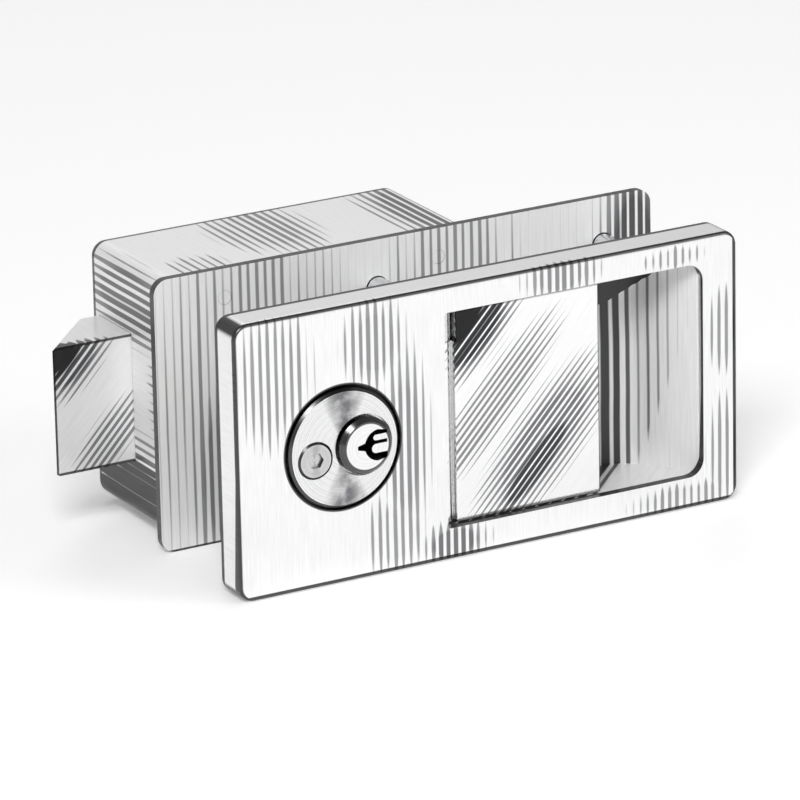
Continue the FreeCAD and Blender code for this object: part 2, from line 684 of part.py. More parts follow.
# Stud nuts: plain hexagons on the studs, against the cup's rim
def make_cup_nuts():
    nuts = []
    for k, (x, z) in enumerate(stud_places, start=1):
        hexagon = doc.addObject("Part::Prism", f"StudNut{k}")
        hexagon.Polygon = 6
        bind(hexagon, "Circumradius", size.nutRadius)
        bind(hexagon, "Height", size.nutThickness)
        place(hexagon, "Y", x, rim_back, z)
        bore = cylinder(f"StudNutBore{k}", "Y", x, rim_back, z, size.studRadius + size.fit,
                        size.nutThickness)
        nuts.append(take(f"StudNutRing{k}", hexagon, bore))
    group("cup_nuts", nuts)


# Hinge: a pin through the cup's two walls, and a fixed sleeve above the paddle's barrel
def make_hinge():
    low = window_low - size.cupWall - size.hingePinEnd
    length = size.windowHeight + 2 * size.cupWall + 2 * size.hingePinEnd
    pin = cylinder("HingePin", "Z", hinge_x, hinge_y, low, size.hingePinRadius, length)
    subpart(pin, "hinge_pin")
    start = barrel_top + size.looseFit
    tube = cylinder("SleeveTube", "Z", hinge_x, hinge_y, start, size.barrelRadius,
                    window_high - start)
    bore = cylinder("SleeveBore", "Z", hinge_x, hinge_y, start, size.hingePinRadius + size.fit,
                    window_high - start)
    subpart(take("HingeSleeve", tube, bore), "hinge_sleeve")


lever_rivets = [
    (hinge_x + size.footLeft + size.footWidth / 2 + side * size.rivetSpan / 2,
     arm_low + size.rivetRise)
    for side in (-1, 1)
]


# Paddle: a flat plate whose left edge is webbed to a barrel on the hinge pin
def make_paddle():
    body = new_body("paddle")
    r = size.barrelRadius
    slant = r * math.sqrt(0.5)
    lip_y = hinge_y - root(r * r - size.paddleStep * size.paddleStep)
    outline = [
        (paddle_left, paddle_front), (paddle_right, paddle_front), (paddle_right, paddle_back),
        (paddle_left + size.paddleWeb, paddle_back), (hinge_x + slant, hinge_y + slant),
        (hinge_x, hinge_y + r, r), (hinge_x - r, hinge_y, r), (hinge_x, hinge_y - r, r),
        (paddle_left, lip_y, r)]
    solid(body, "PaddleSection", "XY_Plane", paddle_low, paddle_high, draw_outline, outline)
    cut(body, "BarrelEnd", "XY_Plane", barrel_top, paddle_high, draw_rectangle,
        hinge_x - 2 * r, hinge_x + r + size.looseFit, hinge_y - 2 * r, hinge_y + 2 * r)
    cut(body, "WebEnd", "XY_Plane", barrel_top, paddle_high, draw_rectangle, paddle_left,
        paddle_left + size.paddleWeb, paddle_back, hinge_y + 2 * r)
    cut(body, "HingeBore", "XY_Plane", paddle_low, barrel_top, draw_circle, hinge_x, hinge_y,
        size.hingePinRadius + size.fit)
    cut(body, "RivetHoles", "XZ_Plane", paddle_back - size.rivetSink, paddle_back, draw_circles,
        lever_rivets, size.rivetRadius + size.fit)
    dress(body, "Fillet", "FreeEdge", size.paddleRound,
          lambda p: near(p.x, paddle_right) and near(p.y, paddle_front))


# Lever: a bent sheet riveted to the paddle's back; its arm reaches the roller in the case
def make_paddle_lever():
    body = new_body("paddle_lever")
    foot_left = hinge_x + size.footLeft
    foot_right = foot_left + size.footWidth
    foot_back = paddle_back + size.leverThickness
    nose = size.leverNose
    arm = [
        (foot_left, paddle_back), (foot_right, paddle_back), (foot_right, foot_back),
        (hinge_x + size.elbowX, hinge_y + size.elbowY), (roller_x + nose, roller_y),
        (roller_x, roller_y + nose, nose), (roller_x - nose, roller_y, nose),
        (hinge_x + size.rootX, hinge_y + size.rootY)]
    solid(body, "ArmOutline", "XY_Plane", arm_low, arm_high, draw_outline, arm)
    solid(body, "FootOutline", "XZ_Plane", paddle_back, foot_back, draw_rectangle, foot_left,
          foot_right, arm_low, arm_low + size.footHeight)
    cut(body, "RollerPinHole", "XY_Plane", arm_low, arm_high, draw_circle, roller_x, roller_y,
        size.rollerPinRadius + size.fit)
    cut(body, "RivetHoles", "XZ_Plane", paddle_back, foot_back, draw_circles, lever_rivets,
        size.rivetRadius + size.fit)


# Lever rivets: set in the back of the paddle, headed over the lever's foot
def make_lever_rivets():
    rivets = []
    foot_back = paddle_back + size.leverThickness
    for k, (x, z) in enumerate(lever_rivets, start=1):
        shank = cylinder(f"LeverRivetShank{k}", "Y", x, paddle_back - size.rivetSink, z,
                         size.rivetRadius, size.rivetSink + size.leverThickness)
        head = cylinder(f"LeverRivetHead{k}", "Y", x, foot_back, z, size.rivetHead,
                        size.rivetHeadHeight)
        rivets.append(join(f"LeverRivet{k}", [shank, head]))
    group("lever_rivets", rivets)


# Roller and its headed pin at the lever's end
def make_roller():
    wheel = cylinder("RollerWheel", "Z", roller_x, roller_y, roller_low, size.rollerRadius,
                     size.rollerHeight)
    bore = cylinder("RollerBore", "Z", roller_x, roller_y, roller_low,
                    size.rollerPinRadius + size.fit, size.rollerHeight)
    subpart(take("Roller", wheel, bore), "drive_roller")
    top = roller_high + size.looseFit
    shank = cylinder("RollerPinShank", "Z", roller_x, roller_y, arm_low, size.rollerPinRadius,
                     top - arm_low)
    head = cylinder("RollerPinHead", "Z", roller_x, roller_y, top, size.rollerHead,
                    size.rollerHeadHeight)
    subpart(join("RollerPin", [shank, head]), "roller_pin")


# Leaf spring: screwed to the back of the cup, its long leg lies along the lever's right side
elbow_x = hinge_x + size.elbowX
elbow_y = hinge_y + size.elbowY
nose_right = roller_x + size.leverNose
leaf_z = (arm_low + arm_high) / 2
side_run = (nose_right - elbow_x) / (roller_y - elbow_y)
leaf_tip_x = elbow_x + (size.leafReach - elbow_y) * side_run + size.slideGap
leaf_root_x = elbow_x + size.leafClear
leaf_screw_x = leaf_root_x + size.leafBend + size.leafScrewPlace


def make_leaf_spring():
    body = new_body("paddle_leaf_spring")
    t = size.leafThickness
    bend = size.leafBend
    foot_end = leaf_root_x + bend + size.leafFoot
    outline = [
        (foot_end, cup_outer), (foot_end, cup_outer + t),
        (leaf_root_x + bend, cup_outer + t), (leaf_root_x + t, cup_outer + bend, t - bend),
        (leaf_tip_x + t, size.leafReach), (leaf_tip_x, size.leafReach),
        (leaf_root_x, cup_outer + bend), (leaf_root_x + bend, cup_outer, bend)]
    solid(body, "LeafOutline", "XY_Plane", leaf_z - size.leafWidth / 2,
          leaf_z + size.leafWidth / 2, draw_outline, outline)
    cut(body, "LeafScrewHole", "XZ_Plane", cup_outer, cup_outer + t, draw_circle, leaf_screw_x,
        leaf_z, size.leafScrew + size.fit)
    shank = cylinder("LeafScrewShank", "Y", leaf_screw_x, cup_back, leaf_z,
                     size.leafScrew - size.fit, size.cupWall + t)
    head = cylinder("LeafScrewHead", "Y", leaf_screw_x, cup_outer + t, leaf_z,
                    size.leafScrewHead, size.leafScrew)
    screw = slotted("LeafScrew", join("LeafScrewForm", [shank, head]), leaf_screw_x,
                    cup_outer + t + size.leafScrew, leaf_z, size.leafScrewHead,
                    size.leafScrew / 2)
    subpart(screw, "leaf_screw")


# Posts: round pillars from the cup's bosses into the flange's holes, tapped at the back
post_end = flange_front + size.postEntry


def make_posts():
    posts = []
    for k, (x, z) in enumerate(post_places, start=1):
        pillar = cylinder(f"PostPillar{k}", "Y", x, size.bossReach, z, size.postRadius,
                          post_end - size.bossReach)
        stem = cylinder(f"PostStem{k}", "Y", x, size.bossReach - size.stemLength, z,
                        size.postStem, size.stemLength)
        tap = cylinder(f"PostTap{k}", "Y", x, post_end - size.postTap, z,
                       size.screwRadius + size.fit, size.postTap)
        posts.append(take(f"Post{k}", join(f"PostBody{k}", [pillar, stem]), tap))
    group("mounting_posts", posts)


# A screw with a low domed head; the head bears on a face at y and the shank runs forward
def fixing_screw(name, x, y, z, shank_end):
    shank = cylinder(f"{name}Shank", "Y", x, shank_end, z, size.screwRadius, y - shank_end)
    half = size.screwHeadHeight / 2
    rim = cylinder(f"{name}Rim", "Y", x, y, z, size.screwHead, half)
    dome = cone(f"{name}Dome", "Y", x, y + half, z, size.screwHead, size.screwHead - half, half)
    screw = join(f"{name}Form", [shank, rim, dome])
    return slotted(name, screw, x, y + size.screwHeadHeight, z, size.screwHead, half)


# Long screws go through the case and its spacers; short ones hold the flange's free end
def make_fixings():
    shank_end = post_end - size.screwEngage
    long_screws = []
    short_screws = []
    spacers = []
    washers = []
    washer_back = flange_back + size.washerThickness
    for k, (x, z) in enumerate(post_places[:2], start=1):
        long_screws.append(fixing_screw(f"LongScrew{k}", x, case_back, z, shank_end))
        tube = cylinder(f"SpacerTube{k}", "Y", x, flange_back, z, size.spacerRadius,
                        case_inner - flange_back)
        bore = cylinder(f"SpacerBore{k}", "Y", x, flange_back, z,
                        size.screwRadius + size.looseFit, case_inner - flange_back)
        spacers.append(take(f"Spacer{k}", tube, bore))
    for k, (x, z) in enumerate(post_places[2:], start=1):
        short_screws.append(fixing_screw(f"ShortScrew{k}", x, washer_back, z, shank_end))
        ring = cylinder(f"WasherRing{k}", "Y", x, flange_back, z, size.washerRadius,
                        size.washerThickness)
        hole = cylinder(f"WasherHole{k}", "Y", x, flange_back, z,
                        size.screwRadius + size.looseFit, size.washerThickness)
        washers.append(take(f"Washer{k}", ring, hole))
    group("long_screws", long_screws)
    group("case_spacers", spacers)
    group("short_screws", short_screws)
    group("screw_washers", washers)


# Flange: the flat plate on the inside of the door
tab_rivets = [
    (x, level * (case_top - size.caseWall - size.tabReach / 2))
    for x in tab_places for level in (-1, 1)
]


def make_flange_plate():
    body = new_body("flange_plate")
    r = size.flangeCorner
    solid(body, "FlangeOutline", "XZ_Plane", flange_front, flange_back, draw_rounded,
          -plate_right, plate_right, -plate_top, plate_top, r, r)
    cut(body, "PostHoles", "XZ_Plane", flange_front, flange_back, draw_circles, post_places,
        size.postRadius + size.looseFit)
    cut(body, "ShaftHole", "XZ_Plane", flange_front, flange_back, draw_circle, plug_x, plug_z,
        size.shaftRadius + size.slotMargin)
    cut(body, "LeverPass", "XZ_Plane", flange_front, flange_back, draw_slot,
        hinge_x - size.passLeft, hinge_x + size.passRight, arm_low - size.slotMargin,
        arm_high + size.slotMargin)
    cut(body, "RivetHoles", "XZ_Plane", flange_front, flange_back, draw_circles, tab_rivets,
        size.caseRivetRadius + size.fit)


# Case: a pressed box behind the flange, open to it, with the bolt's mouth in its left wall
def make_case_shell():
    body = new_body("case_shell")
    wall = size.caseWall
    r = size.caseCorner
    solid(body, "CaseOutline", "XZ_Plane", flange_back, case_back, draw_rounded, case_left,
          case_right, -case_top, case_top, r, r)
    dress(body, "Fillet", "BackRound", r - wall / 2, lambda p: near(p.y, case_back))
    cut(body, "CaseInside", "XZ_Plane", flange_back, case_inner, draw_rounded, case_left + wall,
        case_right - wall, -case_top + wall, case_top - wall, r - wall / 2, r - wall / 2)
    half = size.tabWidth / 2
    reach = case_top - wall - size.tabReach
    tabs = [(x - half, x + half, low, high) for x in tab_places
            for low, high in ((-case_top + wall / 2, -reach), (reach, case_top - wall / 2))]
    solid(body, "Tabs", "XZ_Plane", flange_back, flange_back + wall, draw_rectangles, tabs)
    cut(body, "TabHoles", "XZ_Plane", flange_back, flange_back + wall, draw_circles, tab_rivets,
        size.caseRivetRadius + size.fit)
    gap = size.looseFit
    cut(body, "BoltMouth", "YZ_Plane", case_left, case_left + wall, draw_rectangle,
        bolt_front - gap, bolt_back + gap, bolt_low - gap, bolt_high + gap)
    cut(body, "ScrewHoles", "XZ_Plane", case_inner, case_back, draw_circles, post_places[:2],
        size.screwRadius + size.looseFit)
    cut(body, "RivetHoles", "XZ_Plane", case_inner, case_back, draw_circles, guide_rivets,
        size.caseRivetRadius + size.fit)


# Flange rivets: cut flush at the flange's front, headed behind the case's tabs
def make_flange_rivets():
    rivets = []
    start = flange_front + size.flushSink
    tab_back = flange_back + size.caseWall
    for k, (x, z) in enumerate(tab_rivets, start=1):
        shank = cylinder(f"FlangeShank{k}", "Y", x, start, z, size.caseRivetRadius,
                         tab_back - start)
        tail = cone(f"FlangeTail{k}", "Y", x, tab_back, z, size.caseRivetHead,
                    size.caseRivetRadius, size.caseRivetHeight)
        rivets.append(join(f"FlangeRivet{k}", [shank, tail]))
    group("flange_rivets", rivets)


spring_y = (tail_back + bolt_back) / 2
tail_rivets = [
    (bolt_rear - size.tailLap / 2, bolt_z + level * size.tailRivetSpan / 2)
    for level in (-1, 1)
]
stud_z = cylinder_z + size.guideStudRise
guide_studs = [(bolt_rear - size.guideStudX + size.guideStudPitch * k, stud_z) for k in (0, 1)]


# Latch bolt: a block with a bevelled heel, stepped at the rear for its tail
def make_latch_bolt():
    body = new_body("latch_bolt")
    outline = [(bolt_tip, bolt_front), (bolt_rear, bolt_front), (bolt_rear, bolt_back),
               (bolt_heel, bolt_back)]
    solid(body, "BoltSection", "XY_Plane", bolt_low, bolt_high, draw_outline, outline)
    dress(body, "Chamfer", "BrokenEdges", size.boltBreak,
          lambda p: (near(p.z, bolt_low) or near(p.z, bolt_high)) and not near(p.x, bolt_rear))
    lap = bolt_rear - size.tailLap
    cut(body, "TailStep", "XY_Plane", bolt_low, bolt_high, draw_rectangle, lap, bolt_rear,
        bolt_front, tail_back)
    cut(body, "RodHole", "YZ_Plane", bolt_rear - size.rodSink, bolt_rear, draw_circle, spring_y,
        bolt_z, size.rodRadius + size.fit)
    cut(body, "RivetHoles", "XZ_Plane", tail_back, bolt_back, draw_circles, tail_rivets,
        size.tailRivetRadius + size.fit)


# Bolt tail: a flat plate riveted to the bolt, wide where the coupler rides on it
def make_bolt_tail():
    body = new_body("bolt_tail")
    start = bolt_rear - size.tailLap
    wide_end = bolt_rear + size.tailWide
    stop = bolt_rear + size.tailReach
    half = size.tailHeight / 2
    top = stud_z + size.guideStudHead + size.fit
    outline = [
        (start, bolt_z - size.tailBase), (wide_end, bolt_z - size.tailBase),
        (wide_end, bolt_z - half), (stop, bolt_z - half), (stop, bolt_z + half),
        (wide_end, bolt_z + half), (wide_end, top), (start, top)]
    solid(body, "TailOutline", "XZ_Plane", bolt_front, tail_back, draw_outline, outline)
    cut(body, "RivetHoles", "XZ_Plane", bolt_front, tail_back, draw_circles, tail_rivets,
        size.tailRivetRadius + size.fit)
    cut(body, "StudHoles", "XZ_Plane", bolt_front, tail_back, draw_circles, guide_studs,
        size.guideStudRadius + size.fit)


# Tail rivets and guide studs; the studs' heads keep the coupler on the tail
def make_tail_fixings():
    rivets = []
    for k, (x, z) in enumerate(tail_rivets, start=1):
        rivets.append(cylinder(f"TailRivet{k}", "Y", x, bolt_front, z, size.tailRivetRadius,
                               bolt_back - bolt_front))
    group("tail_rivets", rivets)
    studs = []
    head_back = coupler_front - size.looseFit / 2
    for k, (x, z) in enumerate(guide_studs, start=1):
        shank = cylinder(f"GuideStudShank{k}", "Y", x, head_back, z, size.guideStudRadius,
                         tail_back - head_back)
        head = cylinder(f"GuideStudHead{k}", "Y", x, head_back - size.guideStudHeadHeight, z,
                        size.guideStudHead, size.guideStudHeadHeight)
        studs.append(join(f"GuideStud{k}", [shank, head]))
    group("guide_studs", studs)


# Coupler: a plate riding up and down on the bolt's tail. Its hook stands against the roller,
# its long slot takes the crank pin, and lifting it takes the hook off the roller
crank_drop = size.crankRadius * sine(size.crankAngle)
crank_x = plug_x + size.crankRadius * cosine(size.crankAngle)
crank_z = plug_z - crank_drop
coupler_shift = 2 * crank_drop
slot_play = size.crankPin + size.slideGap
stud_play = size.guideStudRadius + size.looseFit


def make_coupler():
    body = new_body("drive_coupler")
    left = bolt_rear - size.couplerLeft
    wide_end = bolt_rear + size.couplerWide
    base = cylinder_z - size.couplerBase
    arm_top = cylinder_z + size.couplerArm
    hook_left = roller_x + size.rollerRadius + size.hookGap
    hook_right = hook_left + size.hookThickness
    top = stud_z + size.couplerTop
    outline = [(left, base), (hook_right, base), (hook_right, arm_top), (wide_end, arm_top),
               (wide_end, top), (left, top)]
    solid(body, "CouplerOutline", "XZ_Plane", coupler_front, coupler_back, draw_outline, outline)
    cut(body, "CrankSlot", "XZ_Plane", coupler_front, coupler_back, draw_slot,
        crank_x - size.boltTravel - slot_play, plug_x + size.crankRadius + slot_play,
        crank_z - slot_play, crank_z + slot_play)
    for k, (x, z) in enumerate(guide_studs, start=1):
        cut(body, f"StudSlot{k}", "XZ_Plane", coupler_front, coupler_back, draw_slot,
            x - stud_play, x + stud_play, z - coupler_shift - stud_play, z + stud_play)
    hook_low = arm_high + size.slideGap
    solid(body, "Hook", "XZ_Plane", roller_y - size.hookReach, coupler_front, draw_rectangle,
          hook_left, hook_right, hook_low, hook_low + size.hookHeight)


# Bolt spring: the space of its coils, a tube round the rod from the bolt to the rear guide
def make_bolt_spring():
    coil = cylinder("SpringCoil", "X", bolt_rear, spring_y, bolt_z,
                    size.springRadius + size.springWire / 2, size.springLength)
    hollow = cylinder("SpringHollow", "X", bolt_rear, spring_y, bolt_z,
                      size.springRadius - size.springWire / 2, size.springLength)
    subpart(take("BoltSpring", coil, hollow), "bolt_spring")


# Spring rod: pressed into the bolt's rear, it slides through the rear guide
def make_spring_rod():
    start = bolt_rear - size.rodSink
    rod = cylinder("SpringRod", "X", start, spring_y, bolt_z, size.rodRadius,
                   size.rodSink + size.springLength + size.rodEnd)
    subpart(rod, "spring_rod")


guide_left = case_left + size.caseWall
bracket_x = bolt_rear + size.springLength
foot_end = bracket_x + size.bracketThickness + size.bracketFoot
guide_rivets = [
    (guide_left + size.guideLength / 2, bolt_z + level * size.guideRivetSpan / 2)
    for level in (-1, 1)
] + [
    (bracket_x + size.bracketThickness + size.bracketFoot / 2,
     bolt_z + level * size.bracketRivetSpan / 2)
    for level in (-1, 1)
]


# Bolt guide: a channel on the case's back that holds the bolt from above, below and behind
def make_bolt_guide():
    body = new_body("bolt_guide")
    gap = size.looseFit
    low = bolt_low - gap
    high = bolt_high + gap
    base = bolt_back + gap
    mouth = bolt_back - size.guideReach
    cheek = size.guideCheek
    outline = [(mouth, low - cheek), (case_inner, low - cheek), (case_inner, high + cheek),
               (mouth, high + cheek), (mouth, high), (base, high), (base, low), (mouth, low)]
    solid(body, "GuideSection", "YZ_Plane", guide_left, guide_left + size.guideLength,
          draw_outline, outline)
    cut(body, "RivetHoles", "XZ_Plane", base, case_inner, draw_circles, guide_rivets[:2],
        size.caseRivetRadius + size.fit)


# Rear guide: an angle bracket that stops the spring and carries the tail and the rod
def make_rear_guide():
    body = new_body("rear_guide")
    t = size.bracketThickness
    gap = size.looseFit
    low = bolt_z - size.bracketHeight / 2
    high = bolt_z + size.bracketHeight / 2
    section = [(bracket_x, bolt_front + gap), (bracket_x + t, bolt_front + gap),
               (bracket_x + t, case_inner - t), (foot_end, case_inner - t),
               (foot_end, case_inner), (bracket_x, case_inner)]
    solid(body, "BracketSection", "XY_Plane", low, high, draw_outline, section)
    half = size.tailHeight / 2 + gap
    cut(body, "TailNotch", "YZ_Plane", bracket_x, bracket_x + t, draw_rectangle,
        bolt_front, tail_back + gap, bolt_z - half, bolt_z + half)
    cut(body, "RodHole", "YZ_Plane", bracket_x, bracket_x + t, draw_circle, spring_y, bolt_z,
        size.rodRadius + gap)
    cut(body, "RivetHoles", "XZ_Plane", case_inner - t, case_inner, draw_circles,
        guide_rivets[2:], size.caseRivetRadius + size.fit)


# Guide rivets: flush inside, domed on the outside of the case's back
def make_guide_rivets():
    rivets = []
    starts = [bolt_back + size.looseFit] * 2 + [case_inner - size.bracketThickness] * 2
    for k, ((x, z), start) in enumerate(zip(guide_rivets, starts), start=1):
        shank = cylinder(f"GuideRivetShank{k}", "Y", x, start, z, size.caseRivetRadius,
                         case_back - start)
        dome = cone(f"GuideRivetDome{k}", "Y", x, case_back, z, size.caseRivetHead,
                    size.caseRivetRadius, size.caseRivetHeight)
        rivets.append(join(f"GuideRivet{k}", [shank, dome]))
    group("guide_rivets", rivets)


# Cylinder: its face shows in the plate; the plug's bore and the pin chambers meet inside
pin_places = [
    (cylinder_front + size.pinFirst + size.pinPitch * k, plug_z) for k in range(int(size.pinCount.value))
]
cap_inner = cylinder_x - size.cylinderRadius + size.capDepth
cap_start = pin_places[0][0] - size.pinPitch / 2
cap_stop = pin_places[-1][0] + size.pinPitch / 2
face_screw_x = cylinder_x - size.faceScrewOut
face_screw_z = cylinder_z - size.faceScrewDrop
shear_x = plug_x - size.plugRadius


def make_cylinder_body():
    body = new_body("cylinder_body")
    solid(body, "BodyCircle", "XZ_Plane", cylinder_front, cylinder_back, draw_circle,
          cylinder_x, cylinder_z, size.cylinderRadius)
    dress(body, "Chamfer", "FaceBevel", size.cylinderBevel, lambda p: near(p.y, cylinder_front))
    cut(body, "PlugBore", "XZ_Plane", cylinder_front, cylinder_back, draw_circle, plug_x, plug_z,
        size.plugRadius + size.fit)
    cut(body, "PlugSeat", "XZ_Plane", cylinder_front, cylinder_front + size.plugHeadSeat,
        draw_circle, plug_x, plug_z, size.plugHead + size.plugClear)
    cut(body, "PinChambers", "YZ_Plane", cap_inner, plug_x, draw_circles, pin_places,
        size.pinRadius + size.fit)
    cut(body, "CapSeat", "YZ_Plane", cap_inner - size.capDepth, cap_inner, draw_rectangle,
        cap_start, cap_stop, plug_z - size.capWidth / 2, plug_z + size.capWidth / 2)
    cut(body, "FaceScrewSeat", "XZ_Plane", cylinder_front, cylinder_front + size.faceScrewSink,
        draw_circle, face_screw_x, face_screw_z, size.faceScrewHead + size.fit)
    cut(body, "FaceScrewHole", "XZ_Plane", cylinder_front,
        cylinder_front + size.faceScrewSink + size.faceScrewLength, draw_circle, face_screw_x,
        face_screw_z, size.faceScrewShank + size.fit)


# Chamber cap: closes the pin chambers, flush with the cylinder's side
def make_chamber_cap():
    strip = box("CapStrip", cap_inner - size.capDepth, cap_start, plug_z - size.capWidth / 2,
                size.capDepth, cap_stop - cap_start, size.capWidth)
    round_side = cylinder("CapRound", "Y", cylinder_x, cap_start, cylinder_z,
                          size.cylinderRadius, cap_stop - cap_start)
    cap = doc.addObject("Part::Common", "ChamberCap")
    cap.Base = strip
    cap.Tool = round_side
    subpart(cap, "chamber_cap")


# Collar behind the face plate that the cylinder screws into, with its set screw below
def make_collar():
    ring = cylinder("CollarRing", "Y", cylinder_x, sheet_back, cylinder_z,
                    size.collarRadius, size.collarLength)
    bore = cylinder("CollarBore", "Y", cylinder_x, sheet_back, cylinder_z,
                    size.cylinderRadius + size.fit, size.collarLength)
    middle = sheet_back + size.collarLength / 2
    low = cylinder_z - size.collarRadius
    hole = cylinder("SetScrewHole", "Z", cylinder_x, middle, low,
                    size.setScrewRadius + size.fit, size.collarRadius)
    subpart(take("Collar", ring, join("CollarHoles", [bore, hole])), "cylinder_collar")
    depth = size.collarRadius - size.cylinderRadius
    screw = cylinder("SetScrew", "Z", cylinder_x, middle, low + size.fit,
                     size.setScrewRadius, depth - 2 * size.fit)
    subpart(screw, "set_screw")


# Face screw: the small round head beside the plug, with a hexagon socket
def make_face_screw():
    seat = cylinder_front + size.faceScrewSink
    start = seat - size.faceScrewHeight
    half = size.faceScrewHeight / 2
    dome = cone("FaceScrewDome", "Y", face_screw_x, start, face_screw_z,
                size.faceScrewHead - half, size.faceScrewHead, half)
    rim = cylinder("FaceScrewRim", "Y", face_screw_x, start + half, face_screw_z,
                   size.faceScrewHead, half)
    shank = cylinder("FaceScrewShank", "Y", face_screw_x, seat, face_screw_z,
                     size.faceScrewShank, size.faceScrewLength)
    socket = doc.addObject("Part::Prism", "FaceScrewSocket")
    socket.Polygon = 6
    bind(socket, "Circumradius", size.faceSocket)
    bind(socket, "Height", size.faceSocketDepth)
    place(socket, "Y", face_screw_x, start, face_screw_z)
    subpart(take("FaceScrew", join("FaceScrewForm", [dome, rim, shank]), socket), "face_screw")


# Plug: a headed barrel with a warded keyway, its five pin holes and two tail screw holes
def keyway_outline():
    """A half-moon from a narrow tip; two round-ended wards reach into it from the right."""
    round_by = size.keyRound
    tip = plug_x - size.keyTip
    throat = plug_x - size.keyThroat
    belly = plug_x + size.keyBelly
    side = plug_x + size.keySide
    step = size.keyNarrow
    tall = size.keyHalf
    small = size.upperWard
    large = size.lowerWard
    inner = plug_x + size.wardReach
    upper = plug_z + size.upperWardRise
    lower = plug_z - size.lowerWardDrop
    return [
        (tip, plug_z - step), (throat, plug_z - 2 * step), (belly, plug_z - tall, round_by),
        (side, plug_z - tall + step), (side, lower - large), (inner, lower - large),
        (inner - large, lower, -large), (inner, lower + large, -large), (side, lower + large),
        (side, upper - small), (inner, upper - small), (inner - small, upper, -small),
        (inner, upper + small, -small), (side, upper + small), (side, plug_z + tall - step),
        (belly, plug_z + tall), (throat, plug_z + 2 * step, round_by), (tip, plug_z + step)]


tail_screws = [(plug_x - size.tailScrewRadius, plug_z + level * size.tailScrewSpan / 2)
               for level in (-1, 1)]


def make_plug():
    body = new_body("plug")
    nose = cylinder_front - size.plugProud
    seat = cylinder_front + size.plugHeadSeat
    solid(body, "PlugHead", "XZ_Plane", nose, seat, draw_circle, plug_x, plug_z, size.plugHead)
    dress(body, "Chamfer", "NoseBevel", size.plugBevel, lambda p: near(p.y, nose))
    solid(body, "PlugBarrel", "XZ_Plane", seat, plug_back, draw_circle, plug_x, plug_z,
          size.plugRadius)
    cut(body, "Keyway", "XZ_Plane", nose, cylinder_front + size.keywayDepth, draw_outline,
        keyway_outline())
    cut(body, "PinHoles", "YZ_Plane", shear_x - size.fit, plug_x - size.pinTip, draw_circles,
        pin_places, size.pinRadius + size.fit)
    cut(body, "TailScrewHoles", "XZ_Plane", plug_back - size.tailScrewDepth, plug_back,
        draw_circles, tail_screws, size.tailScrewRadius + size.fit)


# Pin stacks: key pins in the plug, drivers and springs outside it, parted at the shear line
def make_pins():
    key_pins = []
    drivers = []
    coils = []
    shear = shear_x + size.looseFit
    tip = plug_x - size.pinTip
    for k, (y, z) in enumerate(pin_places, start=1):
        shaft = cylinder(f"KeyPinShaft{k}", "X", shear, y, z, size.pinRadius,
                         tip - shear - size.pinPoint)
        taper = cone(f"KeyPinPoint{k}", "X", tip - size.pinPoint, y, z, size.pinRadius,
                     size.pinFlat, size.pinPoint)
        key_pins.append(join(f"KeyPin{k}", [shaft, taper]))
        driver_x = shear_x - size.looseFit / 2 - size.driverLength
        drivers.append(cylinder(f"DriverPin{k}", "X", driver_x, y, z, size.pinRadius,
                                size.driverLength))
        coil = cylinder(f"PinSpringCoil{k}", "X", cap_inner, y, z, size.pinRadius,
                        driver_x - cap_inner)
        hollow = cylinder(f"PinSpringHollow{k}", "X", cap_inner, y, z,
                          size.pinRadius - size.springWall, driver_x - cap_inner)
        coils.append(take(f"PinSpring{k}", coil, hollow))
    group("key_pins", key_pins)
    group("driver_pins", drivers)
    group("pin_springs", coils)


# The crank's web is made level and swung down to the crank pin
def new_crank(start, stop):
    hub = cylinder("CrankHub", "Y", plug_x, start, plug_z, size.crankHub, stop - start)
    boss = cylinder("CrankBoss", "Y", crank_x, start, crank_z, size.crankBoss, stop - start)
    web = box("CrankWeb", ZERO, ZERO, -size.crankBoss, size.crankRadius, stop - start,
              2 * size.crankBoss)
    swung = doc.addObject("Part::Compound", "CrankWebSwung")
    swung.Links = [web]
    place(swung, "Z", plug_x, start, plug_z)
    swung.Placement.Rotation = FreeCAD.Rotation(
        FreeCAD.Vector(0, 1, 0), size.crankAngle.value)
    return join("Crank", [hub, boss, swung])


# Tailpiece: disc on the plug's back, shaft through the flange, and the crank with its pin
def make_tailpiece():
    disc_back = plug_back + size.discThickness
    crank_back = coupler_front - size.slideGap
    crank_front = crank_back - size.crankThickness
    pin_end = coupler_back - size.slideGap / 2
    disc = cylinder("TailDisc", "Y", plug_x, plug_back, plug_z, size.discRadius,
                    size.discThickness)
    holes = [
        cylinder(f"TailDiscHole{k}", "Y", x, plug_back, z, size.tailScrewRadius + size.fit,
                 size.discThickness)
        for k, (x, z) in enumerate(tail_screws, start=1)
    ]
    drilled = take("TailDiscDrilled", disc, join("TailDiscHoles", holes))
    shaft = cylinder("TailShaft", "Y", plug_x, disc_back, plug_z, size.shaftRadius,
                     crank_front - disc_back)
    crank = new_crank(crank_front, crank_back)
    pin = cylinder("CrankPin", "Y", crank_x, crank_back, crank_z, size.crankPin,
                   pin_end - crank_back)
    subpart(join("Tailpiece", [drilled, shaft, crank, pin]), "tailpiece")


def make_tail_screws():
    screws = []
    disc_back = plug_back + size.discThickness
    for k, (x, z) in enumerate(tail_screws, start=1):
        shank = cylinder(f"TailScrewShank{k}", "Y", x, plug_back - size.tailScrewDepth, z,
                         size.tailScrewRadius, size.tailScrewDepth + size.discThickness)
        head = cylinder(f"TailScrewHead{k}", "Y", x, disc_back, z, size.tailScrewHead,
                        size.tailScrewRadius)
        form = join(f"TailScrewForm{k}", [shank, head])
        screws.append(slotted(f"TailScrew{k}", form, x, disc_back + size.tailScrewRadius, z,
                              size.tailScrewHead, size.tailScrewRadius / 2))
    group("tail_screws", screws)


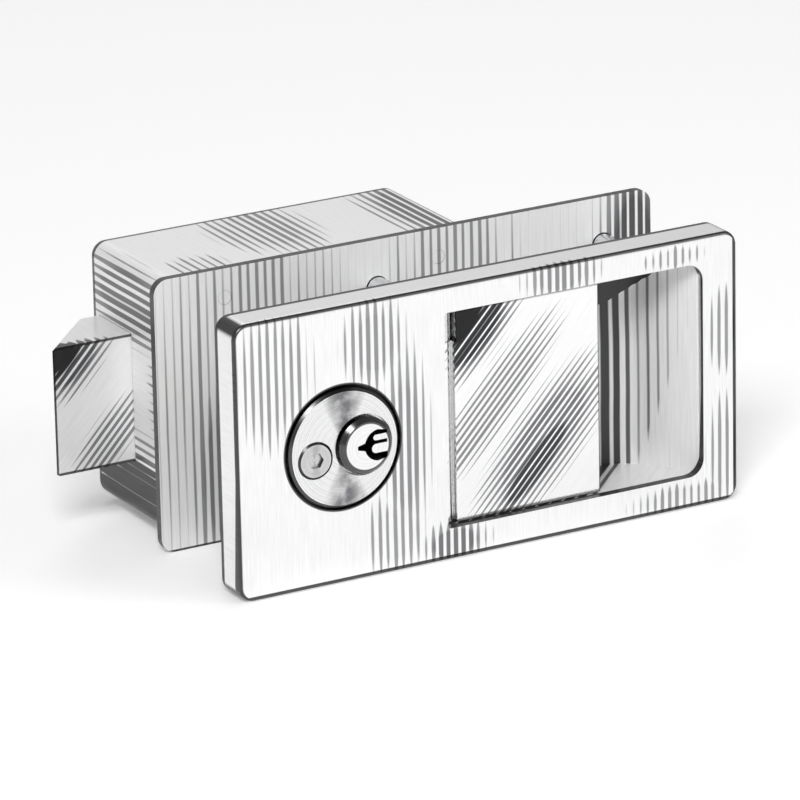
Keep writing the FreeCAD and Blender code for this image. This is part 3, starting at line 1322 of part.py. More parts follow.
make_face_plate()
make_pull_cup()
make_cup_nuts()
make_hinge()
make_paddle()
make_paddle_lever()
make_lever_rivets()
make_roller()
make_leaf_spring()
make_posts()
make_fixings()
make_flange_plate()
make_case_shell()
make_flange_rivets()
make_latch_bolt()
make_bolt_tail()
make_tail_fixings()
make_coupler()
make_bolt_spring()
make_spring_rod()
make_bolt_guide()
make_rear_guide()
make_guide_rivets()
make_cylinder_body()
make_chamber_cap()
make_collar()
make_face_screw()
make_plug()
make_pins()
make_tailpiece()
make_tail_screws()
doc.recompute()

# Nothing is written unless every object is sound
for thing in doc.Objects:
    if "Invalid" in thing.State or "Error" in thing.State:
        raise RuntimeError(f"{thing.Name} failed: {thing.State}")
for thing in subparts:
    if thing.Shape.isNull() or not thing.Shape.isValid() or not thing.Shape.Solids:
        raise RuntimeError(f"{thing.Label} has no sound shape")

os.makedirs("parts", exist_ok=True)
for thing in subparts:
    thing.Shape.exportStep(f"parts/{thing.Label}.step")
    box_size = thing.Shape.BoundBox
    print(f"{thing.Label}: {len(thing.Shape.Solids)} solids, {thing.Shape.Volume:.1f} mm3, "
          f"{box_size.XLength:.1f} x {box_size.YLength:.1f} x {box_size.ZLength:.1f}")
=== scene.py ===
import functools
import math

import bmesh
import bpy
from mathutils import Matrix, Vector


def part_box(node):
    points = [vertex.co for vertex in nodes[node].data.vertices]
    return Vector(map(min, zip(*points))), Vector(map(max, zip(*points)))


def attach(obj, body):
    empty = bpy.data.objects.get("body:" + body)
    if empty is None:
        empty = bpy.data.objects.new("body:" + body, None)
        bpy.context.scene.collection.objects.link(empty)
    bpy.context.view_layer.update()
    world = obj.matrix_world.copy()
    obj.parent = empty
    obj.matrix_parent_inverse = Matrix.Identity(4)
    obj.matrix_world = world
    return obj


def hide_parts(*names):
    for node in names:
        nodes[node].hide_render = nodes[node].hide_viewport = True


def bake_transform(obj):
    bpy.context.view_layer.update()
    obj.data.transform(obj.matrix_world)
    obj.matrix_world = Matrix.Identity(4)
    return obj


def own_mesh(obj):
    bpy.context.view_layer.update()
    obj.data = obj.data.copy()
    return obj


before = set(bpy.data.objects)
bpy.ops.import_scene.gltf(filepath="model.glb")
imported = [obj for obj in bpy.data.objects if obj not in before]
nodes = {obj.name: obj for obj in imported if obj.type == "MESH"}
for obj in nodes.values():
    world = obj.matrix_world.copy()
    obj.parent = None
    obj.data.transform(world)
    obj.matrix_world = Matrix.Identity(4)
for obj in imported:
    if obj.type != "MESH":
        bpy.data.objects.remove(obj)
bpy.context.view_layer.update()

# A recessed-paddle slam latch with a key cylinder, in the finish of the engraving. Metres, in
# the CAD's frame: X to the right, Y into the door, Z up.

MM = 0.001


def middle(name):
    low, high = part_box(name)
    return (low + high) / 2


# Shaders

LEVEL = (0.0, 0.0, 0.0)
SLANT = (0.0, math.radians(-43.0), 0.0)
SKEW = (0.0, 0.0, math.radians(45.0))
ROUND_Y = (1.0, 0.0, 1.0)
BLACK = (0.012, 0.012, 0.013)
GREY = (0.16, 0.16, 0.17)
DEEP_GREY = (0.12, 0.12, 0.13)

TOOL_SCALE = 3000.0     # scales of the noises, per metre
BRUSH_SCALE = 2600.0
TOOTH_SCALE = 900.0
CLOUD_SCALE = 300.0
WIPE_SCALE = 260.0
SMUDGE_SCALE = 60.0
SWAY_SCALE = 50.0
STAIN_SCALE = 40.0

DRAWN_OUT = 0.04        # how much the noise is drawn out along the brush's lines
SWAY = 0.9              # how far a deeper line strays, in radians of its pitch
LINE_LEVEL = 1.1        # how high a line's wave has to reach where there is no tone
LINE_BLUR = 0.55
# Turned metal's roundings are painted dark, as shade, in front of this depth.
FACE_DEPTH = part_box("face_plate")[0].y + 3.5 * MM    # turned metal is outlined down to here
FACE_FADE = 0.5 * MM
RIM_BLUR = 0.1 * MM

# How squarely a face looks along an axis where an effect begins and where it is full.
SIDEWAYS = (0.70, 0.71)
SQUARE_ON = (0.9, 0.95)
ROUNDED = (0.99, 0.93)
CUT = (0.95, 0.80)
BENT = (0.12, 0.3)
OFF_BACK = (0.99, 0.9)
OFF_TOP = (0.98, 0.9)
OFF_FLOOR = (0.8, 0.5)


class Shader:
    """The nodes of one procedural metal. Each method adds nodes and gives their output."""

    def __init__(self, name, colour, metallic, roughness):
        self.material = bpy.data.materials.new(name)
        self.material.use_nodes = True
        self.tree = self.material.node_tree
        self.tree.nodes.clear()
        output = self.tree.nodes.new("ShaderNodeOutputMaterial")
        self.surface = self.tree.nodes.new("ShaderNodeBsdfPrincipled")
        self.tree.links.new(self.surface.outputs[0], output.inputs["Surface"])
        self.surface.inputs["Base Color"].default_value = (*colour, 1.0)
        self.surface.inputs["Metallic"].default_value = metallic
        self.surface.inputs["Roughness"].default_value = roughness
        self.texture = self.tree.nodes.new("ShaderNodeTexCoord")
        self.position = self.texture.outputs["Object"]

    def node(self, kind, **settings):
        made = self.tree.nodes.new(kind)
        for key, value in settings.items():
            setattr(made, key, value)
        return made

    def link(self, source, target):
        self.tree.links.new(source, target)

    def math(self, kind, first, second=0.0, third=0.0):
        made = self.node("ShaderNodeMath", operation=kind)
        for value, slot in zip((first, second, third), made.inputs):
            if isinstance(value, float):
                slot.default_value = value
            else:
                self.link(value, slot)
        return made.outputs[0]

    def most(self, *values):
        return functools.reduce(functools.partial(self.math, "MAXIMUM"), values)

    def product(self, *values):
        return functools.reduce(functools.partial(self.math, "MULTIPLY"), values)

    def vector(self, kind, first, second=(0.0, 0.0, 0.0)):
        made = self.node("ShaderNodeVectorMath", operation=kind)
        self.link(first, made.inputs[0])
        made.inputs[1].default_value = second
        return made.outputs["Value" if kind == "LENGTH" else "Vector"]

    def split(self, vector):
        made = self.node("ShaderNodeSeparateXYZ")
        self.link(vector, made.inputs[0])
        return made.outputs

    def joined(self, *parts):
        """A vector from up to three values. What is left out is zero."""
        made = self.node("ShaderNodeCombineXYZ")
        for value, slot in zip(parts, made.inputs):
            self.link(value, slot)
        return made.outputs[0]

    def turned(self, rotation):
        """The place on the object in a turned frame."""
        made = self.node("ShaderNodeMapping")
        made.inputs["Rotation"].default_value = rotation
        self.link(self.position, made.inputs["Vector"])
        return made.outputs[0]

    def from_axis(self, centre):
        """The place seen from an axis along Y through a centre, with Y left out."""
        return self.vector("MULTIPLY", self.vector("SUBTRACT", self.position, centre), ROUND_Y)

    def facing(self):
        """How far a face looks along each axis of the object, from 0 to 1."""
        return [self.math("ABSOLUTE", part) for part in self.split(self.texture.outputs["Normal"])]

    def edge(self):
        """1 on the small roundings between the faces and 0 on the faces."""
        return self.ramp(self.most(*self.facing()), *ROUNDED)

    def noise(self, vector, scale, detail=3.0, roughness=0.55):
        made = self.node("ShaderNodeTexNoise")
        made.inputs["Scale"].default_value = scale
        made.inputs["Detail"].default_value = detail
        made.inputs["Roughness"].default_value = roughness
        self.link(vector, made.inputs["Vector"])
        return made.outputs["Fac"]

    def ramp(self, value, low, high, start=0.0, stop=1.0):
        """A value moved from low..high to start..stop, clamped."""
        made = self.node("ShaderNodeMapRange")
        made.inputs["From Min"].default_value = low
        made.inputs["From Max"].default_value = high
        made.inputs["To Min"].default_value = start
        made.inputs["To Max"].default_value = stop
        self.link(value, made.inputs["Value"])
        return made.outputs[0]

    def blend(self, factor, first, second):
        """Two colours mixed by a factor."""
        made = self.node("ShaderNodeMix", data_type="RGBA")
        self.link(factor, made.inputs["Factor"])
        for value, slot in ((first, made.inputs["A"]), (second, made.inputs["B"])):
            if isinstance(value, tuple):
                slot.default_value = (*value, 1.0)
            else:
                self.link(value, slot)
        return made.outputs["Result"]

    def uneven(self, noise, low, high):
        """A value that wanders from low to high with a noise."""
        return self.ramp(noise, 0.25, 0.75, low, high)

    def bump(self, height, strength, distance):
        made = self.node("ShaderNodeBump")
        made.inputs["Strength"].default_value = strength
        made.inputs["Distance"].default_value = distance
        self.link(height, made.inputs["Height"])
        return made.outputs[0]

    def finish(self, colour, roughness, normal):
        for value, key in ((colour, "Base Color"), (roughness, "Roughness"), (normal, "Normal")):
            self.link(value, self.surface.inputs[key])
        return self.material

    def brush_way(self, place):
        """Across the brush's lines, and the place with the lines' length drawn out."""
        x, y, z = self.split(place)
        side = self.ramp(self.facing()[0], *SIDEWAYS)
        front = self.math("SUBTRACT", 1.0, side)
        across = self.math("ADD", self.product(x, front), self.product(z, side))
        along = self.math("MULTIPLY", self.math("ADD", y, z), DRAWN_OUT)
        return across, self.joined(across, along)

    def patches(self, place, spots):
        """Soft oval patches of painted shade, each with a centre and reach in mm and its depth of
        tone.
        """
        tones = []
        for centre, reach, depth in spots:
            off = self.vector("SUBTRACT", place, [c * MM for c in centre])
            off = self.vector("MULTIPLY", off, [1.0 / (r * MM) for r in reach])
            tones.append(self.ramp(self.vector("LENGTH", off), 1.1, 0.5, 0.0, depth))
        return self.most(*tones)

    def drawn(self, across, way, pitch, tone, wander=0.25):
        """Parallel lines at a pitch, wider where the tone is deeper: 1 on a line.

        wander is how far a line's own tone may stray from the tone round it."""
        own = self.noise(self.vector("MULTIPLY", way, (1.0, 0.25, 1.0)), 0.9 / pitch, 1.0, 0.5)
        live = self.ramp(tone, 0.05, 0.3)
        tone = self.math("MULTIPLY_ADD", self.ramp(own, 0.3, 0.7, -wander, wander), live, tone)
        sway = self.math("MULTIPLY", self.noise(self.position, SWAY_SCALE, 1.0, 0.5), SWAY)
        wave = self.math("COSINE", self.math("MULTIPLY_ADD", across, 2.0 * math.pi / pitch, sway))
        level = self.math("MULTIPLY_ADD", tone, 2.0, self.math("SUBTRACT", wave, LINE_LEVEL))
        return self.ramp(level, 0.0, LINE_BLUR)


def brushed(name, light, dark, roughness, pitch, depth, spots, turn=LEVEL, metallic=1.0,
            lined=0.0, outlined=None):
    """Satin metal: fine brush lines, with patches of painted shade and painted reflections where
    deeper lines stand out.

    lined is the tone outside the patches. outlined gives the painted shade along the edges, from a
    shader."""
    s = Shader(name, light, metallic, roughness)
    place = s.turned(turn)
    across, way = s.brush_way(place)
    fine = s.noise(way, BRUSH_SCALE, 3.0, 0.6)
    tone = s.most(s.patches(place, spots), lined)
    colour = s.blend(s.ramp(fine, 0.3, 0.75, 0.0, 0.12), light, dark)
    ink = s.blend(s.ramp(tone, 0.7, 1.1), dark, BLACK)
    strength = s.ramp(tone, 0.6, 1.0, depth, 0.98)
    colour = s.blend(s.product(s.drawn(across, way, pitch, tone), strength), colour, ink)
    if outlined:
        colour = s.blend(outlined(s), colour, BLACK)
    rough = s.uneven(fine, roughness * 0.8, roughness * 1.25)
    return s.finish(colour, rough, s.bump(fine, 0.12, 0.05 * MM))


def cast_cup(name, light, dark, pitch):
    """The cup: a satin casting whose deep end is drawn with thick upright lines of painted shade.
    """
    s = Shader(name, light, 0.15, 0.34)
    across, inward, up = s.split(s.turned(SKEW))
    way = s.joined(across, s.math("MULTIPLY", up, DRAWN_OUT),
                   s.math("MULTIPLY", inward, DRAWN_OUT))
    fine = s.noise(way, BRUSH_SCALE, 3.0, 0.6)
    tone = cup_painted_shade(s)
    colour = s.blend(s.ramp(fine, 0.3, 0.75, 0.0, 0.15), light, dark)
    ink = s.blend(s.ramp(tone, 0.3, 0.7), GREY, BLACK)
    lines = s.drawn(across, way, pitch, tone, 0.08)
    colour = s.blend(s.math("MULTIPLY", lines, 0.96), colour, ink)
    rough = s.uneven(fine, 0.28, 0.42)
    return s.finish(colour, rough, s.bump(fine, 0.12, 0.05 * MM))


def lathed(name, light, dark, roughness, centre, wedge, rim=None):
    """Turned metal: fine rings round a centre, with a soft painted shade above and below it that
    stands in for the turned face's reflection.

    rim is the radius outside which the face is painted dark, as shade; the roundings in front of
    FACE_DEPTH are painted dark as shade too."""
    s = Shader(name, light, 1.0, roughness)
    off = s.from_axis(centre)
    radius = s.vector("LENGTH", off)
    rings = s.noise(s.joined(radius), TOOL_SCALE, 2.0, 0.6)
    upright = s.split(s.vector("NORMALIZE", off))[2]
    cloud = s.ramp(s.noise(s.position, CLOUD_SCALE, 2.0, 0.5), 0.35, 0.6, 0.4, 1.0)
    tone = s.product(s.ramp(s.product(upright, upright), 0.80, 0.99, 0.0, wedge), cloud)
    colour = s.blend(s.ramp(rings, 0.35, 0.7, 0.0, 0.3), light, dark)
    colour = s.blend(tone, colour, dark)
    edge = s.edge()
    if rim:
        edge = s.most(edge, s.ramp(radius, rim - RIM_BLUR, rim + RIM_BLUR))
    front = s.ramp(s.split(s.position)[1], FACE_DEPTH - FACE_FADE, FACE_DEPTH, 0.9, 0.0)
    colour = s.blend(s.product(edge, front), colour, BLACK)
    rough = s.uneven(rings, roughness * 0.75, roughness * 1.4)
    return s.finish(colour, rough, s.bump(rings, 0.10, 0.04 * MM))


def polished(name, light, dark, roughness):
    """Bright metal with faint wipe marks."""
    s = Shader(name, light, 1.0, roughness)
    marks = s.noise(s.position, WIPE_SCALE, 4.0, 0.6)
    smudge = s.noise(s.position, SMUDGE_SCALE, 3.0, 0.6)
    colour = s.blend(s.ramp(smudge, 0.35, 0.75, 0.0, 0.35), light, dark)
    rough = s.ramp(marks, 0.3, 0.75, roughness * 0.7, roughness * 1.6)
    return s.finish(colour, rough, s.bump(marks, 0.05, 0.04 * MM))


def plated(name, light, dark, roughness):
    """Plated metal with a fine even tooth."""
    s = Shader(name, light, 1.0, roughness)
    tooth = s.noise(s.position, TOOTH_SCALE, 4.0, 0.6)
    stain = s.noise(s.position, STAIN_SCALE)
    colour = s.blend(s.ramp(stain, 0.35, 0.7, 0.0, 0.6), light, dark)
    rough = s.uneven(tooth, roughness * 0.85, roughness * 1.2)
    return s.finish(colour, rough, s.bump(tooth, 0.18, 0.05 * MM))


# Edges that the engraving outlines

# Each line here is painted shade: roundings, gaps and outer edges drawn dark in the colour.
# A line's pair is the place where it begins and the place where it is full.
OUTLINE = 0.9
PLATE_OUTLINE = 0.92
FLANGE_OUTLINE = 0.95
DOOR_LINE = (-1.3 * MM, -1.1 * MM)
HOLE_LINE = (14.75 * MM, 14.55 * MM)
RIM_HEIGHTS = (-4.0 * MM, -28.0 * MM)
RIM_REACHES = (-7.5 * MM, -6.0 * MM)
RIM_LINE = (0.0, 0.15 * MM)
SILL_FOOT = (-28.0 * MM, -27.0 * MM)
SILL_HEAD = (-18.0 * MM, -20.0 * MM)
BORDER_LOW = (-30.6 * MM, -30.7 * MM)
BORDER_RIGHT = (62.2 * MM, 62.3 * MM)
FLANGE_LOW = (-31.2 * MM, -31.3 * MM)
CASE_FOLD = (65.4 * MM, 65.6 * MM)
BOLT_LINE = (0.7 * MM, 0.55 * MM)
TIP_LINE = (0.6 * MM, 0.5 * MM)
FLAT_LEFT = (-7.4 * MM, -7.2 * MM)
WINDOW_SHADE = (24.1 * MM, 24.7 * MM)


def plate_shade_lines(s):
    """Painted shade on the plate: its roundings, hole, sill and border, and its lines at the door
    and on the rim, drawn dark.

    The line on the rim's sides widens from its upper height to its lower one."""
    x, y, z = s.split(s.position)
    sideways, forward, upward = [s.ramp(part, *SQUARE_ON) for part in s.facing()]
    hole = s.ramp(s.vector("LENGTH", s.from_axis(middle("cylinder_body"))), *HOLE_LINE)
    reach = s.ramp(z, *RIM_HEIGHTS, *RIM_REACHES)
    rim = s.product(s.ramp(s.math("SUBTRACT", reach, y), *RIM_LINE), sideways)
    sill = s.product(upward, s.ramp(z, *SILL_FOOT), s.ramp(z, *SILL_HEAD))
    border = s.product(s.most(s.ramp(z, *BORDER_LOW), s.ramp(x, *BORDER_RIGHT)), forward)
    marks = s.most(s.edge(), s.ramp(y, *DOOR_LINE), hole, rim, sill, border)
    return s.math("MULTIPLY", marks, PLATE_OUTLINE)


def sheet_shade_lines(s):
    """Painted shade: the cut edges of a sheet that lies across Y drawn dark, with a dark line
    along its bottom.
    """
    cut = s.ramp(s.facing()[1], *CUT)
    bottom = s.ramp(s.split(s.position)[2], *FLANGE_LOW)
    return s.math("MULTIPLY", s.most(cut, bottom), FLANGE_OUTLINE)


def case_shade_lines(s):
    """Painted shade: the bend between the case's back and its walls, with the walls' ends, drawn
    dark.
    """
    forward = s.facing()[1]
    bend = s.most(s.ramp(forward, *BENT), s.ramp(s.split(s.position)[1], *CASE_FOLD))
    return s.product(bend, s.ramp(forward, *OFF_BACK, 0.0, OUTLINE))


def bolt_shade_lines(s):
    """Painted shade lines along the bolt's top and bottom and down its tip."""
    x, _, z = s.split(s.position)
    low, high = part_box("latch_bolt")
    top = s.ramp(z, *[high.z - line for line in BOLT_LINE])
    bottom = s.ramp(z, *[low.z + line for line in BOLT_LINE])
    tip = s.ramp(x, *[low.x + line for line in TIP_LINE])
    return s.product(s.most(top, bottom, tip), s.ramp(s.facing()[2], *OFF_TOP, 0.0, OUTLINE))


def paddle_shade_lines(s):
    """Painted shade: the flat's roundings drawn dark, and a painted shadow under the window's top
    edge.
    """
    x, _, z = s.split(s.position)
    marks = s.most(s.edge(), s.ramp(z, *WINDOW_SHADE))
    return s.product(marks, s.ramp(x, *FLAT_LEFT, 0.0, OUTLINE))


# The cup's painted shade

# DEEP_END, DEEP_FADE, FLOOR_SHADE and BAND_RUN are measured along X less Y, which grows away
# from the cup's deep end. Along it the lines' feet rise, and so does the dark band's foot.
DEEP_END = (28.0 * MM, 40.0 * MM)
DEEP_FADE = (42.0 * MM, 58.0 * MM)
FLOOR_SHADE = (36.0 * MM, 32.0 * MM)
FEET_RISE = 1.9
FEET_START = -103.6 * MM
FEET_FADE = 5.0 * MM
BAND_RUN = (30.0 * MM, 56.0 * MM)
BAND_FOOT = (13.4 * MM, 26.0 * MM)
BAND_BLUR = 0.4 * MM
CUP_MOUTH = (9.7 * MM, 9.6 * MM)
CUP_BOTTOM = (-24.7 * MM, -24.6 * MM)
CUP_TOP = (25.7 * MM, 25.6 * MM)
SWEEP_SLOPE = 0.70
SWEEP_LIMIT = (50.5 * MM, 50.2 * MM)


def cup_painted_shade(s):
    """Painted shade: dark in the cup's deep left end and along its top, with lines that hang to
    the right.
    """
    x, y, z = s.split(s.position)
    end = s.math("SUBTRACT", x, y)
    feet = s.math("MULTIPLY_ADD", end, FEET_RISE, FEET_START)
    deep = s.product(s.ramp(end, *DEEP_END, 1.15, 0.34), s.ramp(end, *DEEP_FADE, 1.0, 0.25),
                     s.ramp(s.math("SUBTRACT", z, feet), 0.0, FEET_FADE))
    band = s.ramp(end, *BAND_RUN, *BAND_FOOT)
    high = s.ramp(s.math("SUBTRACT", z, band), 0.0, BAND_BLUR, 0.0, 1.6)
    walls = s.most(s.ramp(s.facing()[2], *OFF_FLOOR), s.ramp(end, *FLOOR_SHADE))
    inside = s.product(s.ramp(y, *CUP_MOUTH), s.ramp(z, *CUP_BOTTOM), s.ramp(z, *CUP_TOP),
                       s.ramp(s.math("MULTIPLY_ADD", y, SWEEP_SLOPE, x), *SWEEP_LIMIT))
    return s.product(s.most(deep, high), walls, inside)


# Where the engraving shades each piece

# A patch of painted shade and painted reflection has its centre and reach in mm, in the metal's
# turned frame, and its depth of tone.
PLATE_SHADE_SPOTS = (
    ((-54, -8.5, 18), (11, 2, 18), 0.60), ((-29, -8.5, 22), (9, 2, 12), 0.68),
    ((-22, -8.5, -3), (7, 2, 27), 0.72), ((-25, -8.5, -23), (9, 2, 11), 0.62),
    ((-10, -8.5, -28), (10, 2, 6), 0.85), ((18, -8.5, 29), (11, 2, 6), 0.72),
    ((50, -8.5, -29), (17, 2, 4), 0.55), ((60, -8.5, -20), (5, 2, 15), 0.62),
    ((60, -8.5, 9), (5, 2, 11), 0.55), ((47, -8.5, 28), (9, 2, 3), 0.50))
FLANGE_SHADE_SPOTS = (
    ((-40, 28.6, 0), (28, 4, 60), 0.42), ((12, 28.6, 0), (20, 4, 60), 0.52),
    ((59, 28.6, 0), (13, 4, 60), 1.0), ((-47, 28.6, -16), (10, 4, 28), 0.78))
CASE_SHADE_SPOTS = (
    ((-59.5, 48, 21), (4, 28, 12), 0.85), ((-59.5, 34, 2), (4, 8, 14), 0.45),
    ((-59.5, 46, -29), (8, 38, 20), 1.35), ((-23, 54, 30), (13, 22, 4), 0.72),
    ((-47, 39, 30), (8, 8, 4), 0.50), ((15, 48, 30), (13, 30, 4), 0.90),
    ((18.5, 48, 8), (4, 26, 20), 0.55), ((-24, 68.7, 2), (26, 4, 34), 0.45),
    ((-20, 50, -30), (30, 26, 4), 0.45))
PADDLE_SHADE_SPOTS = (
    ((-16, -6.2, 12), (9, 0.9, 18), 1.05), ((-25.5, -6.2, 12), (13, 0.9, 20), 1.70),
    ((0, -6.2, 2), (6.5, 0.9, 28), 0.66), ((17, -6.2, 3), (10.5, 0.9, 26), 0.82),
    ((19, -6.2, -2), (5, 0.9, 20), 1.0))
BOLT_SHADE_SPOTS = (
    ((-68, 48.4, -44), (10, 3, 13), 1.70), ((-61, 48.4, -43), (7, 3, 14), 0.95),
    ((-41, 48.4, -52), (6, 3, 14), 0.74))


# Metals, and the nodes that wear them

# The plug's face is painted dark outside this radius, a painted shade ring round it.
PLUG_RIM = 5.2 * MM
satin_plate = brushed("satin_plate", (0.94, 0.94, 0.94), GREY, 0.32, 1.9 * MM, 0.75,
                      PLATE_SHADE_SPOTS, outlined=plate_shade_lines)
satin_flange = brushed("satin_flange", (0.96, 0.96, 0.96), GREY, 0.36, 2.1 * MM, 0.8,
                       FLANGE_SHADE_SPOTS, metallic=0.1, lined=0.08, outlined=sheet_shade_lines)
satin_case = brushed("satin_case", (0.93, 0.93, 0.93), DEEP_GREY, 0.34, 2.1 * MM, 0.8,
                     CASE_SHADE_SPOTS, metallic=0.3, outlined=case_shade_lines)
paddle_metal = brushed("paddle_metal", (0.93, 0.93, 0.93), DEEP_GREY, 0.16, 1.35 * MM, 0.8,
                       PADDLE_SHADE_SPOTS, SLANT, outlined=paddle_shade_lines)
bolt_metal = brushed("bolt_metal", (0.93, 0.93, 0.93), DEEP_GREY, 0.2, 1.5 * MM, 0.8,
                     BOLT_SHADE_SPOTS, SLANT, metallic=0.15, outlined=bolt_shade_lines)
cup_metal = cast_cup("cup_metal", (0.92, 0.92, 0.92), (0.2, 0.2, 0.2), 2.4 * MM)
cylinder_metal = lathed("cylinder_metal", (0.87, 0.87, 0.87), GREY, 0.24,
                        middle("cylinder_body"), 0.95)
plug_metal = lathed("plug_metal", (0.90, 0.90, 0.90), (0.45, 0.45, 0.46), 0.18, middle("plug"),
                    0.0, PLUG_RIM)
screw_metal = lathed("screw_metal", (0.62, 0.62, 0.62), (0.28, 0.28, 0.29), 0.26,
                     middle("face_screw"), 0.5)
sheet_steel = plated("sheet_steel", (0.66, 0.67, 0.69), (0.46, 0.47, 0.49), 0.36)
# The collar is made near black as a painted shade for the gap round the cylinder.
gap_shade_steel = plated("gap_shade_steel", (0.05, 0.05, 0.055), (0.03, 0.03, 0.035), 0.42)
bright_steel = polished("bright_steel", (0.72, 0.73, 0.74), (0.48, 0.49, 0.50), 0.24)
spring_steel = polished("spring_steel", (0.52, 0.53, 0.56), (0.30, 0.31, 0.34), 0.30)
brass = polished("brass", (0.76, 0.58, 0.28), (0.56, 0.40, 0.18), 0.26)

WEARERS = (
    (satin_plate, ("face_plate",)),
    (satin_flange, ("flange_plate", "flange_rivets")),
    (satin_case, ("case_shell",)),
    (paddle_metal, ("paddle",)),
    (bolt_metal, ("latch_bolt",)),
    (cup_metal, ("pull_cup",)),
    (cylinder_metal, ("cylinder_body",)),
    (plug_metal, ("plug",)),
    (screw_metal, ("face_screw",)),
    (gap_shade_steel, ("cylinder_collar",)),
    (sheet_steel, ("paddle_lever", "bolt_tail", "drive_coupler", "rear_guide", "tailpiece")),
    (bright_steel, ("cup_nuts", "hinge_pin", "hinge_sleeve", "lever_rivets", "drive_roller",
                    "roller_pin", "leaf_screw", "mounting_posts", "long_screws", "case_spacers",
                    "short_screws", "screw_washers", "tail_rivets", "guide_studs", "spring_rod",
                    "guide_rivets", "set_screw", "tail_screws")),
    (spring_steel, ("paddle_leaf_spring", "bolt_spring", "pin_springs")),
    (brass, ("bolt_guide", "chamber_cap", "key_pins", "driver_pins")))
for metal, wearers in WEARERS:
    for name in wearers:
        nodes[name].data.materials.clear()
        nodes[name].data.materials.append(metal)


# Springs in place of the model's own

# The bolt's is wound wire in place of its plain tube, and the paddle's is a copy of the leaf,
# divided so that it can bend.
BOLT_WIRE = 1.1 * MM
BOLT_TURNS = 12
TURN_STEPS = 24
WIRE_SIDES = 10
CLOSED_PACE = 0.25      # how fast the wire advances at its ends, as a share of the middle
LEAF_ROOT = Vector((1.4, 13.4, 0.0)) * MM
LEAF_CUTS = 16


def placed(name, made):
    """A piece of spring steel from a bmesh."""
    mesh = bpy.data.meshes.new(name)
    made.to_mesh(mesh)
    made.free()
    mesh.materials.append(spring_steel)
    piece = bpy.data.objects.new(name, mesh)
    bpy.context.scene.collection.objects.link(piece)
    return piece


def wound_spring(name, low, high, wire, turns):
    """A compression spring of round wire that fills the space low..high, with closed ends."""
    radius = (high.y - low.y - wire) / 2
    count = turns * TURN_STEPS
    pace = [min(1.0, max(CLOSED_PACE, min(k, count - k) / TURN_STEPS)) for k in range(count + 1)]
    advance = (high.x - low.x - wire) / sum(pace[:count])
    corners = [2.0 * math.pi * j / WIRE_SIDES for j in range(WIRE_SIDES)]
    rings = []
    made = bmesh.new()
    x = low.x + wire / 2
    for k, share in enumerate(pace):
        angle = 2.0 * math.pi * k / TURN_STEPS
        radial = Vector((0.0, math.cos(angle), math.sin(angle)))
        rise = advance * share * TURN_STEPS / (2.0 * math.pi)
        along = Vector((rise, -radius * math.sin(angle), radius * math.cos(angle))).normalized()
        beside = along.cross(radial)
        centre = Vector((x, (low.y + high.y) / 2, (low.z + high.z) / 2)) + radial * radius
        around = [radial * math.cos(a) + beside * math.sin(a) for a in corners]
        rings.append([made.verts.new(centre + out * wire / 2) for out in around])
        x += advance * share
    for first, second in zip(rings, rings[1:]):
        for j in range(WIRE_SIDES):
            following = (j + 1) % WIRE_SIDES
            made.faces.new((first[j], first[following], second[following], second[j]))
    made.faces.new(rings[0][::-1])
    made.faces.new(rings[-1])
    bmesh.ops.recalc_face_normals(made, faces=made.faces[:])
    for face in made.faces:
        face.smooth = len(face.verts) == 4
    return placed(name, made)


def bending_leaf(name, node):
    """A copy of the leaf spring, divided along its free run so that it can bend."""
    made = bmesh.new()
    made.from_mesh(nodes[node].data)
    low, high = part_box(node)
    run = Vector((low.x, high.y, 0.0)) - LEAF_ROOT
    for k in range(LEAF_CUTS):
        bmesh.ops.bisect_plane(made, geom=made.verts[:] + made.edges[:] + made.faces[:],
                               plane_co=LEAF_ROOT + run * (k / LEAF_CUTS), plane_no=run)
    return placed(name, made)


low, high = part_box("bolt_spring")
coil = wound_spring("bolt_coil", low, high, BOLT_WIRE, BOLT_TURNS)
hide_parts("bolt_spring")
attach(coil, "lock_body")
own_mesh(coil)
leaf = bending_leaf("bending_leaf", "paddle_leaf_spring")
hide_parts("paddle_leaf_spring")
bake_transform(leaf)


# Floor and backdrop: pale paper that turns up far behind the object

FLOOR_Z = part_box("face_plate")[0].z
PAPER_FRONT = -4.0
PAPER_BACK = 3.0
PAPER_CURVE = 0.8
PAPER_TOP = 4.0
PAPER_SIDE = 4.0
CURVE_ANGLES = [math.radians(9.0 * k) for k in range(11)]
SEEN_GLOW = 0.22
MIRRORED_GLOW = 0.26

profile = [(PAPER_FRONT, FLOOR_Z)]
profile += [(PAPER_BACK + PAPER_CURVE * math.sin(a), FLOOR_Z + PAPER_CURVE * (1 - math.cos(a)))
            for a in CURVE_ANGLES]
profile += [(PAPER_BACK + PAPER_CURVE, PAPER_TOP)]
verts = [(x, y, z) for y, z in profile for x in (-PAPER_SIDE, PAPER_SIDE)]
faces = [(2 * k, 2 * k + 1, 2 * k + 3, 2 * k + 2) for k in range(len(profile) - 1)]
mesh = bpy.data.meshes.new("floor")
mesh.from_pydata(verts, [], faces)
floor = bpy.data.objects.new("floor", mesh)
bpy.context.scene.collection.objects.link(floor)
paper = bpy.data.materials.new("paper")
paper.use_nodes = True
tree = paper.node_tree
surface = tree.nodes["Principled BSDF"]
surface.inputs["Base Color"].default_value = (0.9, 0.9, 0.9, 1.0)
surface.inputs["Roughness"].default_value = 0.9
surface.inputs["Specular IOR Level"].default_value = 0.0
surface.inputs["Emission Color"].default_value = (1.0, 1.0, 1.0, 1.0)
path = tree.nodes.new("ShaderNodeLightPath")
mirrored = tree.nodes.new("ShaderNodeMath")
mirrored.operation = "MULTIPLY"
mirrored.inputs[1].default_value = MIRRORED_GLOW
seen = tree.nodes.new("ShaderNodeMath")
seen.operation = "MULTIPLY_ADD"
seen.inputs[1].default_value = SEEN_GLOW
